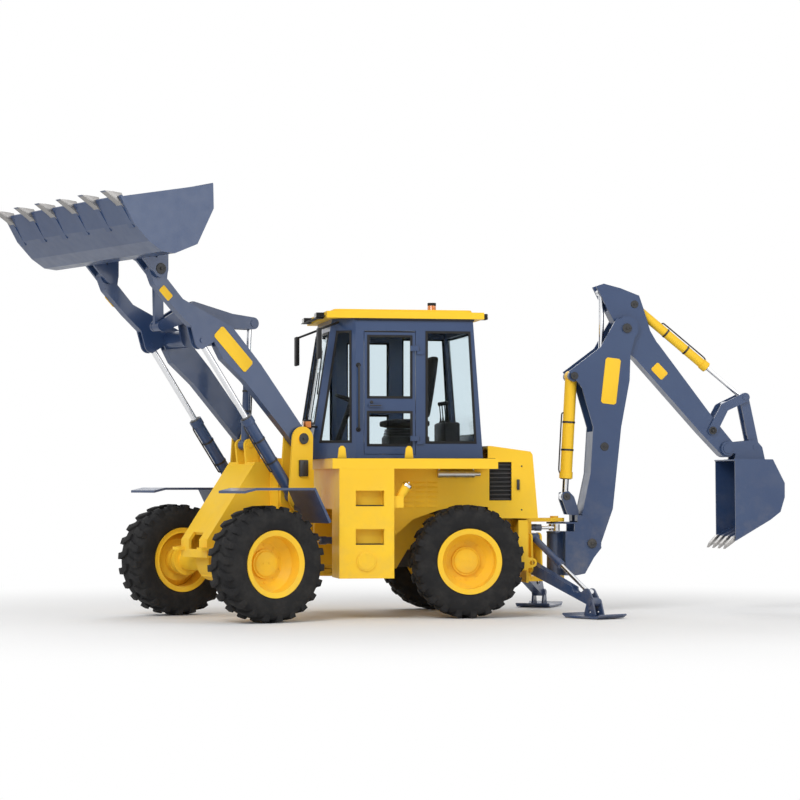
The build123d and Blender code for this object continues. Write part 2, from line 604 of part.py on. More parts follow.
with BuildPart() as cab_glass:
    for outline in SIDE_WINDOWS:
        slab(outline, -CAB_HALF - 50, -CAB_NOSE_HALF + 60)
        slab(outline, CAB_NOSE_HALF - 60, CAB_HALF + 50)
    for outline in DOOR_WINDOWS:
        slab(outline, CAB_HALF - 100, CAB_HALF + 50)
    block((-400, 60), (-CAB_NOSE_HALF + 45, CAB_NOSE_HALF - 45), (2020, 2985))
    block((1380, 1600), (-CAB_HALF + 80, CAB_HALF - 80), (1900, 2985))
    cab_block(CAB_WALL / 2, mode=Mode.INTERSECT)
    cab_block(CAB_WALL / 2 + GLASS, mode=Mode.SUBTRACT)
finish(cab_glass.part, "cab_glass", REAR)

with BuildPart() as cab_roof:
    block((-100, 1568), (-CAB_HALF - 20, CAB_HALF + 20), (CAB_TOP, CAB_TOP + 70))
    with BuildSketch(Plane.XY.offset(CAB_TOP + 70)) as crown:
        with Locations((730, 0)):
            RectangleRounded(1500, 1240, 80)
    extrude(crown.sketch, amount=30, taper=30)
finish(cab_roof.part, "cab_roof", REAR)

DOOR_BOX = ((DOOR_X[0] + DOOR_GAP, DOOR_X[1] - DOOR_GAP), (-CAB_HALF - 20, -CAB_HALF + 60),
            (DOOR_Z[0] + DOOR_GAP, DOOR_Z[1] - DOOR_GAP))

with BuildPart() as door_left:
    block(*DOOR_BOX)
    cab_block(0, mode=Mode.INTERSECT)
    cab_block(CAB_WALL, mode=Mode.SUBTRACT)
    for outline in DOOR_WINDOWS:
        slab(outline, -CAB_HALF - 50, -CAB_HALF + 100, mode=Mode.SUBTRACT)
    for low in DOOR_KNUCKLES:
        block((DOOR_X[1] - 60, DOOR_X[1] - DOOR_GAP), (DOOR_HINGE[1] - 14, -CAB_HALF + 10), (low + 1, low + 55))
        block((DOOR_X[1] - 60, DOOR_HINGE[0]), (DOOR_HINGE[1] - 14, -CAB_HALF - 2), (low + 1, low + 55))
        along((*DOOR_HINGE, low + 1), (*DOOR_HINGE, low + 100), 0, 54, 14)
        along((*DOOR_HINGE, low), (*DOOR_HINGE, low + 100), 0, 56, 8 + PIN_GAP, mode=Mode.SUBTRACT)
    block((335, 480), (-CAB_HALF - 40, -CAB_HALF - 25), (2195, 2225))
    block((335, 355), (-CAB_HALF - 40, -CAB_HALF + 5), (2195, 2225))
    block((460, 480), (-CAB_HALF - 40, -CAB_HALF + 5), (2195, 2225))
finish(door_left.part, "door_left", REAR)

with BuildPart() as door_glass_left:
    for outline in DOOR_WINDOWS:
        slab(outline, -CAB_HALF + CAB_WALL / 2 - GLASS / 2, -CAB_HALF + CAB_WALL / 2 + GLASS / 2)
finish(door_glass_left.part, "door_glass_left", REAR)

with BuildPart() as operator_seat:
    block((640, 1080), (-230, 230), (CAB_LOW + SEAT_GAP, 1900))
    block((600, 1100), (-250, 250), (1985, 2090))
    block((640, 1060), (-200, 200), (1900, 1985))
    slab([(1000, 2090), (1110, 2090), (1210, 2760), (1120, 2760)], -230, 230)
finish(operator_seat.part, "operator_seat", REAR)

with BuildPart() as cab_controls:
    along((60, 0, 1657), (300, 0, 2350), 20, 660, 32)
    along((60, 0, 1657), (300, 0, 2350), 650, 672, 190)
    block((-60, 120), (-150, 150), (CAB_LOW + SEAT_GAP, 1760))
    block((1230, 1400), (-300, 300), (CAB_LOW + SEAT_GAP, 2050))
    for y in (-200, -70, 70, 200):
        along((1290, y, 2050), (1270, y, 2300), -10, 230, 12)
finish(cab_controls.part, "cab_controls", REAR)

with BuildPart() as cab_fittings:
    for side in (-1, 1):
        block((-330, -255), span(side, 560, 680), (1960, 2060))
        along((-270, side * 620, 1990), (-120, side * 440, 1990), 0, 220, 12)
        along((40, side * 560, 3080), (-195, side * 830, 2990), 0, 369, 12)
        block((-212, -180), span(side, 760, 900), (2690, 3000))
    cab_block(0, mode=Mode.SUBTRACT)
    for side in (-1, 1):
        block((-180, -100 - SEAT_GAP), span(side, 380, 520), (3125, 3185))
        block((1568 + SEAT_GAP, 1630), span(side, 480, 600), (3125, 3185))
    along((1148, 0, CAB_TOP + 100 + SEAT_GAP), (1148, 0, 4000), 0, 26, 62)
    along((1148, 0, CAB_TOP + 126), (1148, 0, 4000), 0, 90, 46)
finish(cab_fittings.part, "cab_fittings", REAR)

LEG_HALF = 50

with BuildPart() as leg_ears:
    for side in (-1, 1):
        chain([(0, LEG_PIVOT[2], 62), (0, LEG_CYLINDER_Z, 50)], *span(side, LEG_HALF + SIDE_GAP, 80))
        chain([(0, LEG_PIVOT[2], 62), (-60, 600, 50), (0, LEG_CYLINDER_Z, 50)],
              *span(side, LEG_HALF + SIDE_GAP, 80))
    block((-110, -68), (-80, 80), (440, 870))
    disc(0, LEG_PIVOT[2], HOE_PIN, -90, 90)
    disc(0, LEG_CYLINDER_Z, CYLINDER_PIN, -90, 90)

with BuildPart() as hoe_mount:
    for low, high in ((985, 1025), (345, 400)):
        link_sheet([(SWING_X, 0, SWING_EAR), (2300, 0, 150)], low, high)
        sheet([(2062, -260), (2062, 260), (2300, 150), (2300, -150)], low, high)
        post(SWING_X, 0, SWING_PIN, low - 20, high + 20)
    for side in (-1, 1):
        block((2062, 2200), span(side, 170, 200), (345, 1025))
    block((2060 + SEAT_GAP, 2085), (-560, 560), (345, 1018))
    for side in (-1, 1):
        block((2050, 2100), span(side, 60, 160), (SWING_Z - 50, SWING_Z + 50), mode=Mode.SUBTRACT)
    for side in (-1, 1):
        add(leg_ears.part.moved(Location((LEG_PIVOT[0], side * LEG_PIVOT[1], 0), (0, 0, side * LEG_TURN))))
    block((1900, 2060 + SEAT_GAP), (-900, 900), (300, 1100), mode=Mode.SUBTRACT)
finish(hoe_mount.part, "hoe_mount", REAR)

# Hoe

with BuildPart() as swing_post:
    link_sheet([(SWING_X, 0, 80), (SWING_X + 90, 0, 60)], 405, 980)
    post(SWING_X, 0, SWING_PIN + PIN_GAP, 400, 990, mode=Mode.SUBTRACT)
    for low, high in SWING_LEVERS:
        link_sheet([(SWING_EYE[0], -SWING_EYE[1], 45), (SWING_X, 0, 84), (SWING_EYE[0], SWING_EYE[1], 45)],
                   low, high)
        post(SWING_X, 0, SWING_PIN + PIN_GAP, low, high, mode=Mode.SUBTRACT)
    block((SWING_X + 80, SWING_X + 140), (-188, 188), (405, 980))
    for side in (-1, 1):
        slab([(2590, 405), (2590, 980), (2715, 980), (2755, 1050), (2790, 1050), (2960, 860), (2980, 700),
              (2900, 600), (2798, 424), (2700, 405)], *span(side, 158, 188))
        slab([(2570, 1225), (2575, 1300), (2640, 1315), (2700, 1255), (2752, 1100), (2752, 1000),
              (2715, 1000), (2715, 1055), (2630, 1060)], *span(side, 62, 92))
        disc(*BOOM_FOOT, 105, *span(side, 158, 188))
        disc(*BOOM_FOOT, HOE_PIN + 20, *span(side, 188, 198))
        block((2715, 2752), span(side, 62, 188), (990, 1055))
    block((SWING_X - 220, SWING_SLOT_BACK), (-220, 220), (SWING_LEVERS[0][1], SWING_LEVERS[1][0]),
          mode=Mode.SUBTRACT)
    disc(*BOOM_FOOT, HOE_PIN, -188, 188)
finish(swing_post.part, "swing_post", REAR)

for name, side in (("left", -1), ("right", 1)):
    base = (SWING_BASE[0], side * SWING_BASE[1], SWING_Z)
    eye = (SWING_EYE[0], side * SWING_EYE[1], SWING_Z)
    with BuildPart() as swing_barrel:
        barrel(base, eye, UP, 28, 340, 20, 38, 36)
    finish(swing_barrel.part, "swing_barrel_" + name, REAR)
    with BuildPart() as swing_rod:
        piston_rod(base, eye, UP, 180, 20, 36, 36)
    finish(swing_rod.part, "swing_rod_" + name, REAR)

BOOM_FRONT = [(2775, 1065), (2869, 1506), (2900, 2009), (2775, 2430), (2631, 2610)]
BOOM_REAR = [(3316, 2798), (3306, 2514), (3212, 2010), (3118, 1123), (2983, 741)]

with BuildPart() as boom:
    for side in (-1, 1):
        slab([(2790, 720)] + BOOM_FRONT + [(2983, 2874), (3165, 3190), (3390, 3080)] + BOOM_REAR,
             *span(side, *BOOM_SKIN))
        disc(*BOOM_FOOT, 95, *span(side, 100, 150))
        disc(*DIPPER_PIN, 130, *span(side, *BOOM_SKIN))
        disc(*DIPPER_PIN, HOE_PIN + 22, *span(side, BOOM_SKIN[1], BOOM_SKIN[1] + 10))
        disc(*BOOM_CYLINDER_TOP, 60, *span(side, 65, BOOM_SKIN[0]))
        disc(*CROWD_BASE, 55, *span(side, 62, BOOM_SKIN[0]))
    chain([(x + 12, z, 10) for x, z in BOOM_FRONT[:2]] + [(2908, 1950, 10)], -BOOM_SKIN[0], BOOM_SKIN[0])
    chain([(3288, 2670, 10)] + [(x - 12, z, 10) for x, z in BOOM_REAR[1:]], -BOOM_SKIN[0], BOOM_SKIN[0])
    disc(*BOOM_FOOT, 95, -101, 101)
    disc(*DIPPER_PIN, HOE_PIN, -BOOM_SKIN[0], BOOM_SKIN[0])
    disc(*BOOM_CYLINDER_TOP, CYLINDER_PIN, -BOOM_SKIN[0], BOOM_SKIN[0])
    disc(*CROWD_BASE, CYLINDER_PIN, -BOOM_SKIN[0], BOOM_SKIN[0])
    disc(*BOOM_FOOT, HOE_PIN + PIN_GAP, -160, 160, mode=Mode.SUBTRACT)
finish(boom.part, "boom", REAR)


def cylinder_pair(name, base, end, tube, length, inside, rod, eye, half, rod_eye, rod_half):
    """A cylinder in the hoe's own plane: its barrel and its rod."""
    start = (base[0], 0, base[1])
    tip = (end[0], 0, end[1])
    with BuildPart() as tube_piece:
        barrel(start, tip, ACROSS, tube, length, rod, eye, half)
    finish(tube_piece.part, name + "_barrel", REAR)
    with BuildPart() as rod_piece:
        piston_rod(start, tip, ACROSS, inside, rod, rod_eye, rod_half)
    finish(rod_piece.part, name + "_rod", REAR)


cylinder_pair("boom", BOOM_CYLINDER_TOP, BOOM_CYLINDER_LOW, 65, 1110, 160, BOOM_ROD, 62, 60, 55, 52)
cylinder_pair("crowd", CROWD_BASE, CROWD_EYE, 52, 1000, 690, CROWD_ROD, 58, 56, 52, 50)
cylinder_pair("curl", CURL_BASE, LEVER_TOP, 50, 1080, 500, CURL_ROD, 55, 52, 48, 45)

with BuildPart() as dipper:
    slab([(2948, 3535), (3031, 3565), (3219, 3518), (3428, 3440), (3470, 3320), (3553, 3058), (3637, 2918),
          (3450, 2700), (3333, 2795)], -95, 95)
    chain([(3530, 2820, 150), (4200, 2025, 107), (*HOE_HINGE, 95)], -95, 95)
    disc(*DIPPER_PIN, 85, -BOOM_SKIN[0] + SIDE_GAP, BOOM_SKIN[0] - SIDE_GAP)
    disc(*DIPPER_PIN, HOE_PIN + PIN_GAP, -130, 130, mode=Mode.SUBTRACT)
    disc(*HOE_HINGE, HOE_PIN + PIN_GAP, -130, 130, mode=Mode.SUBTRACT)
    chain([(2900, 3620, 60), (*CROWD_EYE, 140), (2960, 3200, 90)], -56, 56, mode=Mode.SUBTRACT)
    chain([(*CURL_BASE, 72), (3800, 3003, 90)], -58, 58, mode=Mode.SUBTRACT)
    disc(*CURL_BASE, CYLINDER_PIN, -95, 95)
    disc(*LEVER_PIN, HOE_PIN - 5, -128, 128)
finish(dipper.part, "dipper", REAR)

with BuildPart() as hoe_lever:
    for side in (-1, 1):
        chain([(*LEVER_PIN, 52), (4390, 2230, 48), (*LEVER_TOP, 50)], *span(side, 100, 120))
        disc(*LEVER_PIN, HOE_PIN - 5 + PIN_GAP, *span(side, 99, 121), mode=Mode.SUBTRACT)
        disc(*LEVER_TOP, 30, *span(side, 90, 126))
    chain([(4415, 2262, 22), (4430, 2275, 22)], -121, 121)
finish(hoe_lever.part, "hoe_lever", REAR)

with BuildPart() as hoe_link:
    for side in (-1, 1):
        chain([(*LEVER_TOP, 50), (*HOE_LINK_PIN, 52)], *span(side, 52, 82))
    chain([(4690, 2060, 40), (4715, 1940, 40)], -60, 60)
    disc(*HOE_LINK_PIN, HOE_PIN + PIN_GAP - 5, -90, 90, mode=Mode.SUBTRACT)
finish(hoe_link.part, "hoe_link", REAR)

HOE_WALL = [(4430, 1651), (4855, 1651), (4986, 1400), (4986, 1250), (4940, 1095), (4830, 1010), (4440, 784)]

with BuildPart() as hoe_bucket:
    chain([(x, z, 9) for x, z in HOE_WALL], -HOE_BUCKET_HALF, HOE_BUCKET_HALF)
    for side in (-1, 1):
        slab(HOE_WALL, *span(side, HOE_BUCKET_HALF - 18, HOE_BUCKET_HALF))
        slab([(4500, 1640), (4510, 1720), (4350, 1779), (4424, 1860), (4500, 1850), (4743, 1875), (4815, 1795),
              (4850, 1640)], *span(side, 100, 130))
        disc(*HOE_HINGE, 76, *span(side, 100, 130))
        disc(*HOE_HINGE, HOE_PIN + 18, *span(side, 130, 140))
    disc(*HOE_HINGE, HOE_PIN, -135, 135)
    disc(*HOE_LINK_PIN, HOE_PIN - 5, -135, 135)
    for number in range(4):
        middle = -HOE_BUCKET_HALF + 60 + number * (2 * HOE_BUCKET_HALF - 120) / 3
        slab([(4600, 885), (4328, 690), (4350, 735), (4440, 830), (4580, 905)], middle - 35, middle + 35)
finish(hoe_bucket.part, "hoe_bucket", REAR)

# Stabilisers

with BuildPart() as leg:
    chain([(0, LEG_PIVOT[2], 58), (*LEG_FOOT, 40)], -LEG_HALF, LEG_HALF)
    chain([(790, 225, 40), (*LEG_CYLINDER_EYE, 48), (LEG_FOOT[0], LEG_FOOT[1] + 10, 40)], -LEG_HALF, LEG_HALF)
    chain([(LEG_CYLINDER_EYE[0] - 220, LEG_CYLINDER_EYE[1] + 130, 90), (*LEG_CYLINDER_EYE, 100)], -31, 31,
          mode=Mode.SUBTRACT)
    chain([(680, 305, 42), (750, 300, 42)], -LEG_HALF - 1, LEG_HALF + 1, mode=Mode.SUBTRACT)
    disc(0, LEG_PIVOT[2], HOE_PIN + PIN_GAP, -60, 60, mode=Mode.SUBTRACT)
    for side in (-1, 1):
        chain([(*LEG_FOOT, 42), (LEG_FOOT[0] - 60, 40, 20), (LEG_FOOT[0] + 60, 40, 20), (*LEG_FOOT, 42)],
              *span(side, LEG_HALF, LEG_HALF + 20))
    disc(*LEG_FOOT, HOE_PIN - 5, -80, 80)
    slab([(LEG_FOOT[0] - 280, 40), (LEG_FOOT[0] - 230, 8), (LEG_FOOT[0] + 230, 8), (LEG_FOOT[0] + 280, 40),
          (LEG_FOOT[0] + 270, 52), (LEG_FOOT[0] + 225, 28), (LEG_FOOT[0] - 225, 28), (LEG_FOOT[0] - 270, 52)],
         -195, 195)

with BuildPart() as leg_barrel:
    barrel((0, 0, LEG_CYLINDER_Z), (LEG_CYLINDER_EYE[0], 0, LEG_CYLINDER_EYE[1]), ACROSS, 36, 518, 24, 45, 48)

with BuildPart() as leg_rod:
    piston_rod((0, 0, LEG_CYLINDER_Z), (LEG_CYLINDER_EYE[0], 0, LEG_CYLINDER_EYE[1]), ACROSS, 454, 24, 42, 26)

for name, side in (("left", -1), ("right", 1)):
    stand = REAR * Location((LEG_PIVOT[0], side * LEG_PIVOT[1], 0), (0, 0, side * LEG_TURN))
    for kind, piece in (("leg", leg.part), ("leg_barrel", leg_barrel.part), ("leg_rod", leg_rod.part)):
        handed = piece if side > 0 else mirror(piece, about=Plane.XZ)
        finish(handed, kind + "_" + name, stand)

# Steering cylinder

STEER_FAR = Vector(STEER_EYE[0], STEER_EYE[1], STEER_Z).rotate(Axis.Z, STEER_REST)

with BuildPart() as steer_barrel:
    barrel((*STEER_BASE, STEER_Z), STEER_FAR, UP, 36, 480, 20, 45, 38)
finish(steer_barrel.part, "steer_barrel", REAR)

with BuildPart() as steer_rod:
    piston_rod((*STEER_BASE, STEER_Z), STEER_FAR, UP, 400, 20, 42, 36)
finish(steer_rod.part, "steer_rod", REAR)
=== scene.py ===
# %% Load the frame
import bmesh
import bpy
from math import cos, pi, radians, sin
from mathutils import Matrix, Vector


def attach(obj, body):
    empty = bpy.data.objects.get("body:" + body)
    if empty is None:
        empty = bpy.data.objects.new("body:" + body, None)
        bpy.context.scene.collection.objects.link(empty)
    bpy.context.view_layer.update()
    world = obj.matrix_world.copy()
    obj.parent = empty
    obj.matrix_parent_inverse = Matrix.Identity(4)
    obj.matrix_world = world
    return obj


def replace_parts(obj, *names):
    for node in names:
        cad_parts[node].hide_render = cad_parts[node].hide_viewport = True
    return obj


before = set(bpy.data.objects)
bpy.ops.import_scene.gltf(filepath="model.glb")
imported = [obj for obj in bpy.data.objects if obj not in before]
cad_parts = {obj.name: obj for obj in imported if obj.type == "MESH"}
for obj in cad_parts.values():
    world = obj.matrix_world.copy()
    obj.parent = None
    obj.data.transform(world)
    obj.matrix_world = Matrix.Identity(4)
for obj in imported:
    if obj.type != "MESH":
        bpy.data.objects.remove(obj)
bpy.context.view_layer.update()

# %% [markdown]
# The machine is painted metal nearly all over, in a warm yellow and a blue slate. Sprayed enamel is glossy
# but never even: it has a fine ripple, it is dusty low down, and it dulls in large soft patches. One function
# mixes those three from noise, so that both paints and the darker steels share the same way of ageing.

# %% Painted metal


def new_material(name):
    """A material with an empty principled surface, and its node tree."""
    material = bpy.data.materials.new(name)
    material.use_nodes = True
    tree = material.node_tree
    surface = next(n for n in tree.nodes if n.type == "BSDF_PRINCIPLED")
    return material, tree, surface


def noise(tree, scale, detail=4.0, roughness=0.5, stretch=(1, 1, 1)):
    """Noise on object coordinates, in metres."""
    place = tree.nodes.new("ShaderNodeTexCoord")
    turn = tree.nodes.new("ShaderNodeMapping")
    turn.inputs["Scale"].default_value = stretch
    pattern = tree.nodes.new("ShaderNodeTexNoise")
    pattern.inputs["Scale"].default_value = scale
    pattern.inputs["Detail"].default_value = detail
    pattern.inputs["Roughness"].default_value = roughness
    tree.links.new(place.outputs["Object"], turn.inputs["Vector"])
    tree.links.new(turn.outputs["Vector"], pattern.inputs["Vector"])
    return pattern.outputs["Fac"]


def ramp(tree, factor, stops):
    """A colour ramp from (position, value) or (position, colour) stops."""
    node = tree.nodes.new("ShaderNodeValToRGB")
    while len(node.color_ramp.elements) < len(stops):
        node.color_ramp.elements.new(0.5)
    for element, (position, value) in zip(node.color_ramp.elements, stops):
        element.position = position
        element.color = (*value, 1) if isinstance(value, tuple) else (value, value, value, 1)
    tree.links.new(factor, node.inputs["Fac"])
    return node.outputs["Color"]


def mix(tree, factor, first, second):
    """Mixes two colours, each a value or a socket, by a factor socket."""
    node = tree.nodes.new("ShaderNodeMix")
    node.data_type = "RGBA"
    tree.links.new(factor, node.inputs["Factor"])
    for value, socket in ((first, node.inputs["A"]), (second, node.inputs["B"])):
        if isinstance(value, tuple):
            socket.default_value = (*value, 1)
        else:
            tree.links.new(value, socket)
    return node.outputs["Result"]


def height_from_ground(tree, low, high):
    """1 at the low height and 0 at the high one."""
    place = tree.nodes.new("ShaderNodeTexCoord")
    split = tree.nodes.new("ShaderNodeSeparateXYZ")
    band = tree.nodes.new("ShaderNodeMapRange")
    band.inputs["From Min"].default_value = low
    band.inputs["From Max"].default_value = high
    band.inputs["To Min"].default_value = 1.0
    band.inputs["To Max"].default_value = 0.0
    tree.links.new(place.outputs["Object"], split.inputs["Vector"])
    tree.links.new(split.outputs["Z"], band.inputs["Value"])
    return band.outputs["Result"]


def multiply(tree, first, second):
    """Two value sockets, or a socket and a number, multiplied."""
    node = tree.nodes.new("ShaderNodeMath")
    node.operation = "MULTIPLY"
    tree.links.new(first, node.inputs[0])
    if isinstance(second, (int, float)):
        node.inputs[1].default_value = second
    else:
        tree.links.new(second, node.inputs[1])
    return node.outputs["Value"]


def bump(tree, surface, height, strength, distance):
    """Bump from a height socket."""
    node = tree.nodes.new("ShaderNodeBump")
    node.inputs["Strength"].default_value = strength
    node.inputs["Distance"].default_value = distance
    tree.links.new(height, node.inputs["Height"])
    tree.links.new(node.outputs["Normal"], surface.inputs["Normal"])


def painted(name, colour, faded, shine=0.28, dust=0.35, coat=0.5, gloss=0.5):
    """Sprayed enamel: ripple, soft fading and dust near the ground."""
    material, tree, surface = new_material(name)
    patches = ramp(tree, noise(tree, 1.3, 5), [(0.35, 0.0), (0.75, 1.0)])
    colour_now = mix(tree, patches, colour, faded)
    grime = multiply(tree, multiply(tree, height_from_ground(tree, 0.2, 1.7),
                                    ramp(tree, noise(tree, 5.5, 8, 0.65), [(0.42, 0.0), (0.72, 1.0)])), dust)
    colour_now = mix(tree, grime, colour_now, (0.30, 0.26, 0.20))
    tree.links.new(colour_now, surface.inputs["Base Color"])
    tree.links.new(ramp(tree, noise(tree, 9, 6), [(0.3, shine), (0.8, shine + 0.16)]), surface.inputs["Roughness"])
    surface.inputs["Coat Weight"].default_value = coat
    surface.inputs["Specular IOR Level"].default_value = gloss
    surface.inputs["Coat Roughness"].default_value = 0.12
    bump(tree, surface, noise(tree, 160, 2), 0.12, 0.0006)
    return material


YELLOW = painted("yellow_enamel", (0.97, 0.61, 0.036), (0.94, 0.56, 0.034), 0.4, 0.2, 0.0, 0.2)
SLATE = painted("slate_enamel", (0.022, 0.050, 0.132), (0.034, 0.066, 0.150), coat=0.3)
DARK_STEEL = painted("dark_steel", (0.022, 0.023, 0.026), (0.035, 0.034, 0.034), 0.45, 0.5, 0.0)
BLACK_PAINT = painted("black_satin", (0.012, 0.012, 0.014), (0.02, 0.02, 0.022), 0.4, 0.3, 0.2)
print("paints:", YELLOW.name, SLATE.name, DARK_STEEL.name, BLACK_PAINT.name)

# %% [markdown]
# Tyre rubber is nearly black, matt and a little brown where it has rolled through dust. The dust lies in soft
# random patches from one noise, and a second, finer noise varies its roughness.

# %% Rubber, chrome, glass, cloth and plastic


def matt(name, colour, worn, rough=0.75, grain=220, depth=0.0008):
    """A matt moulded material with a fine grain and soft dusty patches."""
    material, tree, surface = new_material(name)
    dusty = ramp(tree, noise(tree, 6, 8, 0.7), [(0.45, 0.0), (0.8, 1.0)])
    tree.links.new(mix(tree, dusty, colour, worn), surface.inputs["Base Color"])
    tree.links.new(ramp(tree, noise(tree, 14, 5), [(0.3, rough), (0.8, min(rough + 0.18, 1.0))]),
                   surface.inputs["Roughness"])
    surface.inputs["Specular IOR Level"].default_value = 0.25
    bump(tree, surface, noise(tree, grain, 3), 0.35, depth)
    return material


RUBBER = matt("tyre_rubber", (0.013, 0.013, 0.014), (0.034, 0.032, 0.030), 0.72)
PLASTIC = matt("black_plastic", (0.014, 0.014, 0.015), (0.028, 0.027, 0.026), 0.5, 320, 0.0004)
SEAT_CLOTH = matt("seat_cloth", (0.018, 0.018, 0.02), (0.035, 0.034, 0.034), 0.85, 500, 0.001)


def metal(name, colour, rough, streak):
    """Bare metal with fine streaks along one direction."""
    material, tree, surface = new_material(name)
    surface.inputs["Metallic"].default_value = 1.0
    surface.inputs["Base Color"].default_value = (*colour, 1)
    lines = noise(tree, 60, 4, 0.6, streak)
    tree.links.new(ramp(tree, lines, [(0.3, rough), (0.8, rough + 0.12)]), surface.inputs["Roughness"])
    bump(tree, surface, lines, 0.05, 0.0003)
    return material


CHROME = metal("hard_chrome", (0.83, 0.84, 0.86), 0.08, (1, 1, 1))
SILVER = metal("silver_heat_paint", (0.62, 0.62, 0.60), 0.34, (3, 1, 1))
WORN_STEEL = metal("worn_steel", (0.36, 0.35, 0.34), 0.36, (1, 6, 1))

GLASS, glass_tree, glass_surface = new_material("cab_window_glass")
glass_surface.inputs["Base Color"].default_value = (0.80, 0.87, 0.90, 1)
glass_surface.inputs["Transmission Weight"].default_value = 1.0
glass_surface.inputs["IOR"].default_value = 1.1
tinge = ramp(glass_tree, noise(glass_tree, 3, 3), [(0.3, 0.02), (0.8, 0.07)])
glass_tree.links.new(tinge, glass_surface.inputs["Roughness"])
print("other finishes:", [m.name for m in (RUBBER, PLASTIC, SEAT_CLOTH, CHROME, SILVER, WORN_STEEL, GLASS)])

# %% [markdown]
# Every node that came from the CAD gets one of these finishes. A table of finish and node names keeps the
# whole colour scheme in one place, as a paint shop's sheet would.

# %% Paint the frame's nodes
CORNERS = ("front_left", "front_right", "rear_left", "rear_right")
PAINT_SHEET = [
    (YELLOW, ["rear_chassis", "platform", "side_tanks", "body_panels", "hood", "cab_roof", "hoe_mount",
              "front_chassis", "front_axle", "rear_axle", "boom_barrel", "curl_barrel"]),
    (YELLOW, ["rim_" + corner for corner in CORNERS]),
    (RUBBER, ["tyre_" + corner for corner in CORNERS]),
    (SLATE, ["front_fenders", "loader_arms", "lift_barrels", "bucket_rocker", "bucket_link", "tilt_barrel",
             "loader_bucket", "cab_shell", "door_left", "swing_post", "boom", "crowd_barrel", "dipper",
             "hoe_lever", "hoe_link", "hoe_bucket", "leg_left", "leg_right", "leg_barrel_left",
             "leg_barrel_right", "swing_barrel_left", "swing_barrel_right", "steer_barrel"]),
    (CHROME, ["lift_rods", "tilt_rod", "boom_rod", "crowd_rod", "curl_rod", "leg_rod_left", "leg_rod_right",
              "swing_rod_left", "swing_rod_right", "steer_rod"]),
    (GLASS, ["cab_glass", "door_glass_left"]),
    (DARK_STEEL, ["powertrain"]),
    (SILVER, ["muffler"]),
    (SEAT_CLOTH, ["operator_seat"]),
    (PLASTIC, ["cab_controls", "cab_fittings"]),
]
for finish, names in PAINT_SHEET:
    for name in names:
        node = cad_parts[name]
        node.data.materials.clear()
        node.data.materials.append(finish)
unpainted = [n for n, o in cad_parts.items() if not o.data.materials]
print("painted", sum(len(names) for _, names in PAINT_SHEET), "nodes, left bare:", unpainted)

# %% [markdown]
# The added pieces are drawn in millimetres, in the same way as the frame: x to the rear, y to the machine's
# right, z up, measured from the hinge between the two halves. Two matrices take such a drawing to its place,
# one for each half, because the front half stands turned. Working in the machine's own directions keeps
# every number readable, which a drawing made straight in the turned frame would not.

# %% Drawing helpers
REAR = Matrix.Translation((-0.742, 0.464, 0)) @ Matrix.Scale(0.001, 4)
FRONT = Matrix.Translation((-0.742, 0.464, 0)) @ Matrix.Rotation(radians(25.46), 4, "Z") @ Matrix.Scale(0.001, 4)
made_pieces = []


def add_piece(name, bm, finish, body, half=REAR, sharp=35):
    """Turns a drawing into a piece of the machine that rides on a body."""
    bmesh.ops.recalc_face_normals(bm, faces=bm.faces)
    bmesh.ops.transform(bm, matrix=half, verts=bm.verts)
    mesh = bpy.data.meshes.new(name)
    bm.to_mesh(mesh)
    bm.free()
    mesh.materials.append(finish)
    mesh.shade_smooth()
    mesh.set_sharp_from_angle(angle=radians(sharp))
    piece = bpy.data.objects.new(name, mesh)
    bpy.context.collection.objects.link(piece)
    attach(piece, body)
    made_pieces.append(piece)
    return piece


def soften(bm, verts, width, segments=2):
    """Bevels the edges among some vertices."""
    inside = set(verts)
    edges = [e for e in {e for v in verts for e in v.link_edges} if e.verts[0] in inside and e.verts[1] in inside]
    bmesh.ops.bevel(bm, geom=edges, offset=width, offset_type="OFFSET", affect="EDGES",
                    segments=segments, profile=0.5, material=-1)


def box(bm, low, high, soft=0.0):
    """A block between two corners, with softened edges."""
    low, high = Vector(low), Vector(high)
    size = high - low
    verts = bmesh.ops.create_cube(bm, size=1)["verts"]
    bmesh.ops.scale(bm, vec=size, verts=verts)
    bmesh.ops.translate(bm, vec=(low + high) / 2, verts=verts)
    if soft:
        soften(bm, verts, soft)


def two_boxes(bm, low, high, soft=0.0):
    """A block on the machine's right and its mirror image on the left."""
    box(bm, low, high, soft)
    box(bm, (low[0], -high[1], low[2]), (high[0], -low[1], high[2]), soft)


print("drawing from the hinge at", [round(v, 3) for v in REAR.translation])

# %% [markdown]
# A loader tyre is a rounded carcass with two rows of heavy lugs that lean back from the middle, each row set
# half a pitch from the other. A section spun round the axle gives the carcass. One lug is drawn flat, as if
# the tread were unrolled, bevelled, copied along the tread, and then the whole strip is bent round the wheel.
# Bending at the end is easier than turning each lug, and it gives every lug its true curve.

# %% Tyres with their lugs
TYRE_RADIUS, LUG_COUNT, TRACK, HALF_BASE, AXLE = 590, 22, 1806, 1337.5, 590
CARCASS = [(322, 158), (344, 178), (356, 189), (380, 197), (430, 204), (478, 203), (512, 196), (538, 182),
           (553, 160), (560, 120), (562, 60), (562, 0)]
LUG_OUTLINE = [(12, -46), (12, 22), (78, 50), (112, 74), (196, 78), (196, 6), (122, -2), (84, -24)]
LUG_FOOT, LUG_TOP, SHOULDER, SHOULDER_DROP = 470, TYRE_RADIUS - 3, 190, 9


